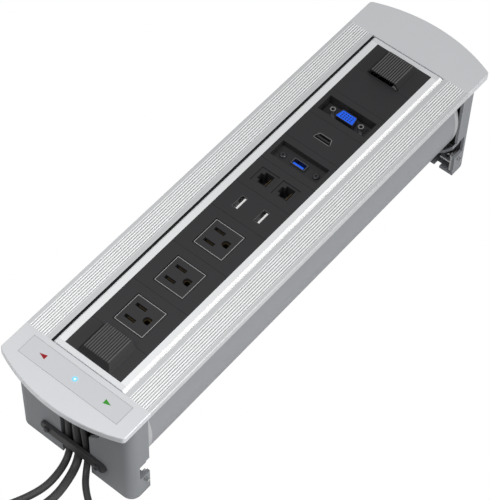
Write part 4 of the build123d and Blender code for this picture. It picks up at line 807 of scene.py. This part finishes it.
def add_mesh(name, points, faces, material, body):
    """A mesh object with one material, on a body of the frame."""
    mesh = bpy.data.meshes.new(name)
    mesh.from_pydata([tuple(point) for point in points], [], faces)
    mesh.update()
    mesh.materials.append(finishes[material] if isinstance(material, str) else material)
    piece = bpy.data.objects.new(name, mesh)
    scene.collection.objects.link(piece)
    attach(piece, body)
    return piece


def flat_prism(outline, low, high):
    """Points and faces of a prism over a flat outline that runs counter-clockwise."""
    count = len(outline)
    points = [(x, y, low) for x, y in outline] + [(x, y, high) for x, y in outline]
    faces = [tuple(reversed(range(count))), tuple(range(count, 2 * count))]
    for n in range(count):
        after = (n + 1) % count
        faces.append((n, after, count + after, count + n))
    return points, faces


def merged(parts):
    """Several point and face lists as one."""
    points, faces = [], []
    for more_points, more_faces in parts:
        start = len(points)
        points += more_points
        faces += [tuple(start + n for n in face) for face in more_faces]
    return points, faces


mark_depth = 0.05 * mm
mark_low = top_height - mark_depth
mark_high = top_height + hair
arrow_half = 2.1 * mm
arrow_tip = 34.6 * mm
red_base = 28.2 * mm
green_base = 28.4 * mm
red_outline = [
    (inlay_x - arrow_half, red_base), (inlay_x + arrow_half, red_base), (inlay_x, arrow_tip)
]
green_outline = [
    (inlay_x - arrow_half, -green_base), (inlay_x, -arrow_tip), (inlay_x + arrow_half, -green_base)
]
points, faces = flat_prism(red_outline, mark_low, mark_high)
add_mesh("arrow_turn_up", points, faces, "mark_red", "frame")
points, faces = flat_prism(green_outline, mark_low, mark_high)
add_mesh("arrow_turn_down", points, faces, "mark_green", "frame")


def frame_strips(x0, x1, y0, y1, width):
    """Four strips that make a thin rectangular line."""
    boxes = [
        (x0, x1, y0, y0 + width), (x0, x1, y1 - width, y1),
        (x0, x0 + width, y0 + width, y1 - width), (x1 - width, x1, y0 + width, y1 - width),
    ]
    parts = []
    for low_x, high_x, low_y, high_y in boxes:
        corners = [(low_x, low_y), (high_x, low_y), (high_x, high_y), (low_x, high_y)]
        parts.append(flat_prism(corners, mark_low, mark_high))
    return merged(parts)


strip_half_x = 8.85 * mm
strip_half_y = 47.6 * mm
strip_line = 0.35 * mm
points, faces = frame_strips(
    inlay_x - strip_half_x, inlay_x + strip_half_x, -strip_half_y, strip_half_y, strip_line
)
add_mesh("touch_strip_line", points, faces, "mark_line", "frame")


def ring_solid(inner, outer, low, high, count=48):
    """A flat ring round the middle of the status light."""
    points, faces = [], []
    for n in range(count):
        angle = 2 * math.pi * n / count
        for radius in (inner, outer):
            for level in (low, high):
                points.append((inlay_x + radius * math.cos(angle), radius * math.sin(angle), level))
    for n in range(count):
        a, b = 4 * n, 4 * ((n + 1) % count)
        faces.append((a + 1, a + 3, b + 3, b + 1))
        faces.append((a, b, b + 2, a + 2))
        faces.append((a + 2, b + 2, b + 3, a + 3))
        faces.append((a, a + 1, b + 1, b))
    return points, faces


halo_inner = 1.8 * mm
core_outer = 0.96 * mm
core_inner = 0.02 * mm
points, faces = ring_solid(halo_inner, halo_outer, mark_low, mark_high)
add_mesh("status_halo", points, faces, painted_halo_glow, "frame")
points, faces = ring_solid(core_inner, core_outer, mark_low, mark_high)
add_mesh("status_core", points, faces, core_light, "frame")
print("marks done")

# %% [markdown]
# ## Rows of small details
# The contacts of the network jacks, the painted shade in the pin holes of the display
# socket and in the crosses of the screw heads, and the painted highlights on the outlets'
# edges repeat. A Geometry Nodes tree makes a row of bars or discs, which becomes a plain
# mesh.

# %% Rows of small details


def make_row_tree(name, shape):
    """A tree that repeats one bar or disc along a line, with named inputs."""
    tree = bpy.data.node_groups.new(name, "GeometryNodeTree")
    tree.interface.new_socket("Geometry", in_out="INPUT", socket_type="NodeSocketGeometry")
    sockets = [
        ("Count", "NodeSocketInt"), ("Start", "NodeSocketVector"), ("Step", "NodeSocketVector"),
        ("Size", "NodeSocketVector"), ("Turn", "NodeSocketVector"), ("Material", "NodeSocketMaterial"),
    ]
    for label, kind in sockets:
        tree.interface.new_socket(label, in_out="INPUT", socket_type=kind)
    tree.interface.new_socket("Geometry", in_out="OUTPUT", socket_type="NodeSocketGeometry")
    entry = tree.nodes.new("NodeGroupInput")
    leave = tree.nodes.new("NodeGroupOutput")
    line = tree.nodes.new("GeometryNodeMeshLine")
    line.mode = "OFFSET"
    tree.links.new(entry.outputs["Count"], line.inputs["Count"])
    tree.links.new(entry.outputs["Start"], line.inputs["Start Location"])
    tree.links.new(entry.outputs["Step"], line.inputs["Offset"])
    if shape == "bar":
        unit = tree.nodes.new("GeometryNodeMeshCube")
    else:
        unit = tree.nodes.new("GeometryNodeMeshCylinder")
        unit.inputs["Vertices"].default_value = 24
        unit.inputs["Radius"].default_value = 0.5
        unit.inputs["Depth"].default_value = 1.0
    spread = tree.nodes.new("GeometryNodeInstanceOnPoints")
    tree.links.new(line.outputs["Mesh"], spread.inputs["Points"])
    tree.links.new(unit.outputs["Mesh"], spread.inputs["Instance"])
    tree.links.new(entry.outputs["Turn"], spread.inputs["Rotation"])
    tree.links.new(entry.outputs["Size"], spread.inputs["Scale"])
    realize = tree.nodes.new("GeometryNodeRealizeInstances")
    tree.links.new(spread.outputs["Instances"], realize.inputs["Geometry"])
    paint = tree.nodes.new("GeometryNodeSetMaterial")
    tree.links.new(realize.outputs["Geometry"], paint.inputs["Geometry"])
    tree.links.new(entry.outputs["Material"], paint.inputs["Material"])
    tree.links.new(paint.outputs["Geometry"], leave.inputs["Geometry"])
    return tree


row_trees = {shape: make_row_tree(f"row_of_{shape}s", shape) for shape in ("bar", "disc")}


def make_row(name, shape, rows, material, body):
    """One object made of rows: count, start, step, size and turn, in millimetres and degrees."""
    joined = bpy.data.meshes.new(name)
    points, faces = [], []
    for count, start, step, size, turn in rows:
        holder = bpy.data.objects.new("row_holder", bpy.data.meshes.new("row_holder"))
        scene.collection.objects.link(holder)
        modifier = holder.modifiers.new("rows", "NODES")
        tree = row_trees[shape]
        modifier.node_group = tree
        values = {
            "Count": count,
            "Start": [v * mm for v in start],
            "Step": [v * mm for v in step],
            "Size": [v * mm for v in size],
            "Turn": [math.radians(v) for v in turn],
            "Material": finishes[material],
        }
        for item in tree.interface.items_tree:
            if item.in_out == "INPUT" and item.name in values:
                modifier[item.identifier] = values[item.name]
        holder.update_tag()
        bpy.context.view_layer.update()
        evaluated = holder.evaluated_get(bpy.context.evaluated_depsgraph_get())
        plain = bpy.data.meshes.new_from_object(evaluated)
        first = len(points)
        points += [tuple(vertex.co) for vertex in plain.vertices]
        faces += [tuple(first + n for n in face.vertices) for face in plain.polygons]
        bpy.data.objects.remove(holder)
    joined.from_pydata(points, [], faces)
    joined.update()
    joined.materials.append(finishes[material])
    piece = bpy.data.objects.new(name, joined)
    scene.collection.objects.link(piece)
    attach(piece, body)
    return piece


contact_pitch = 1.02
contact_count = 8
contact_start = network_x - 3.57
contact_shift = -1.0 - 4.2 + 1.1
contact_size = (0.45, 0.4, 8.0)
contact_tilt = -14
contact_rows = []
for side in (-1, 1):
    place = (contact_start, side * network_y + contact_shift, 102.6)
    contact_rows.append((contact_count, place, (contact_pitch, 0, 0), contact_size, (contact_tilt, 0, 0)))
make_row("network_jack_contacts", "bar", contact_rows, "brass_contact", "drum")

# Painted shade: flat dark discs stand for the shade in the display socket's pin holes.
hole_pitch = 2.3
hole_size = (1.25, 1.25, 0.1)
hole_rows = []
for shift in (-2, 0, 2):
    place = (display_x + shift, -2 * hole_pitch, 107.69)
    hole_rows.append((5, place, (0, hole_pitch, 0), hole_size, (0, 0, 0)))
make_row("display_pin_hole_shades", "disc", hole_rows, "recess_shade", "drum")

# Painted highlights: pale lines along the outlets' edges stand for light on their bevels.
edge_half = 13.4
edge_line = 0.3
edge_depth = 0.05
edge_step = (outlet_pitch, 0, 0)
long_edge = (2 * edge_half + edge_line, edge_line, edge_depth)
short_edge = (edge_line, 2 * edge_half - edge_line, edge_depth)
edge_level = top_height / mm
edge_rows = []
for offset in (-edge_half, edge_half):
    edge_rows.append((3, (outlet_x, offset, edge_level), edge_step, long_edge, (0, 0, 0)))
    edge_rows.append((3, (outlet_x + offset, 0, edge_level), edge_step, short_edge, (0, 0, 0)))
make_row("outlet_edge_highlights", "bar", edge_rows, "edge_highlight", "drum")


cross_depth = 0.07


def cross_rows(node, centres, axis, width):
    """Two bars for each screw head, on its outer face along an axis, in millimetres."""
    low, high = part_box(node)
    rows = []
    for centre in centres:
        for long_side in (0, 1):
            size = [cross_depth] * 3
            across = [n for n in range(3) if n != axis[0]]
            size[across[long_side]] = width
            size[across[1 - long_side]] = width / 4
            place = list(centre)
            place[axis[0]] = (high if axis[1] > 0 else low)[axis[0]] / mm
            rows.append((1, place, (1, 0, 0), size, (0, 0, 0)))
    return rows


# Painted shade: dark bars stand for the shade in the screw heads' cross recesses.
tray_screws = [(data_socket_x, side * 16.5, 0) for side in (-1, 1)]
tray_crosses = cross_rows("usb3_screws", tray_screws, (2, 1), 2.4)
make_row("data_socket_screw_crosses", "bar", tray_crosses, "recess_shade", "drum")
clamp_screws = [(0, side * 25.2, 23.1) for side in (-1, 1)]
clamp_crosses = cross_rows("clamp_bar_screws", clamp_screws, (0, -1), 3.2)
make_row("clamp_screw_crosses", "bar", clamp_crosses, "recess_shade", "frame")
print("rows done")

# %% Finish
bpy.context.view_layer.update()
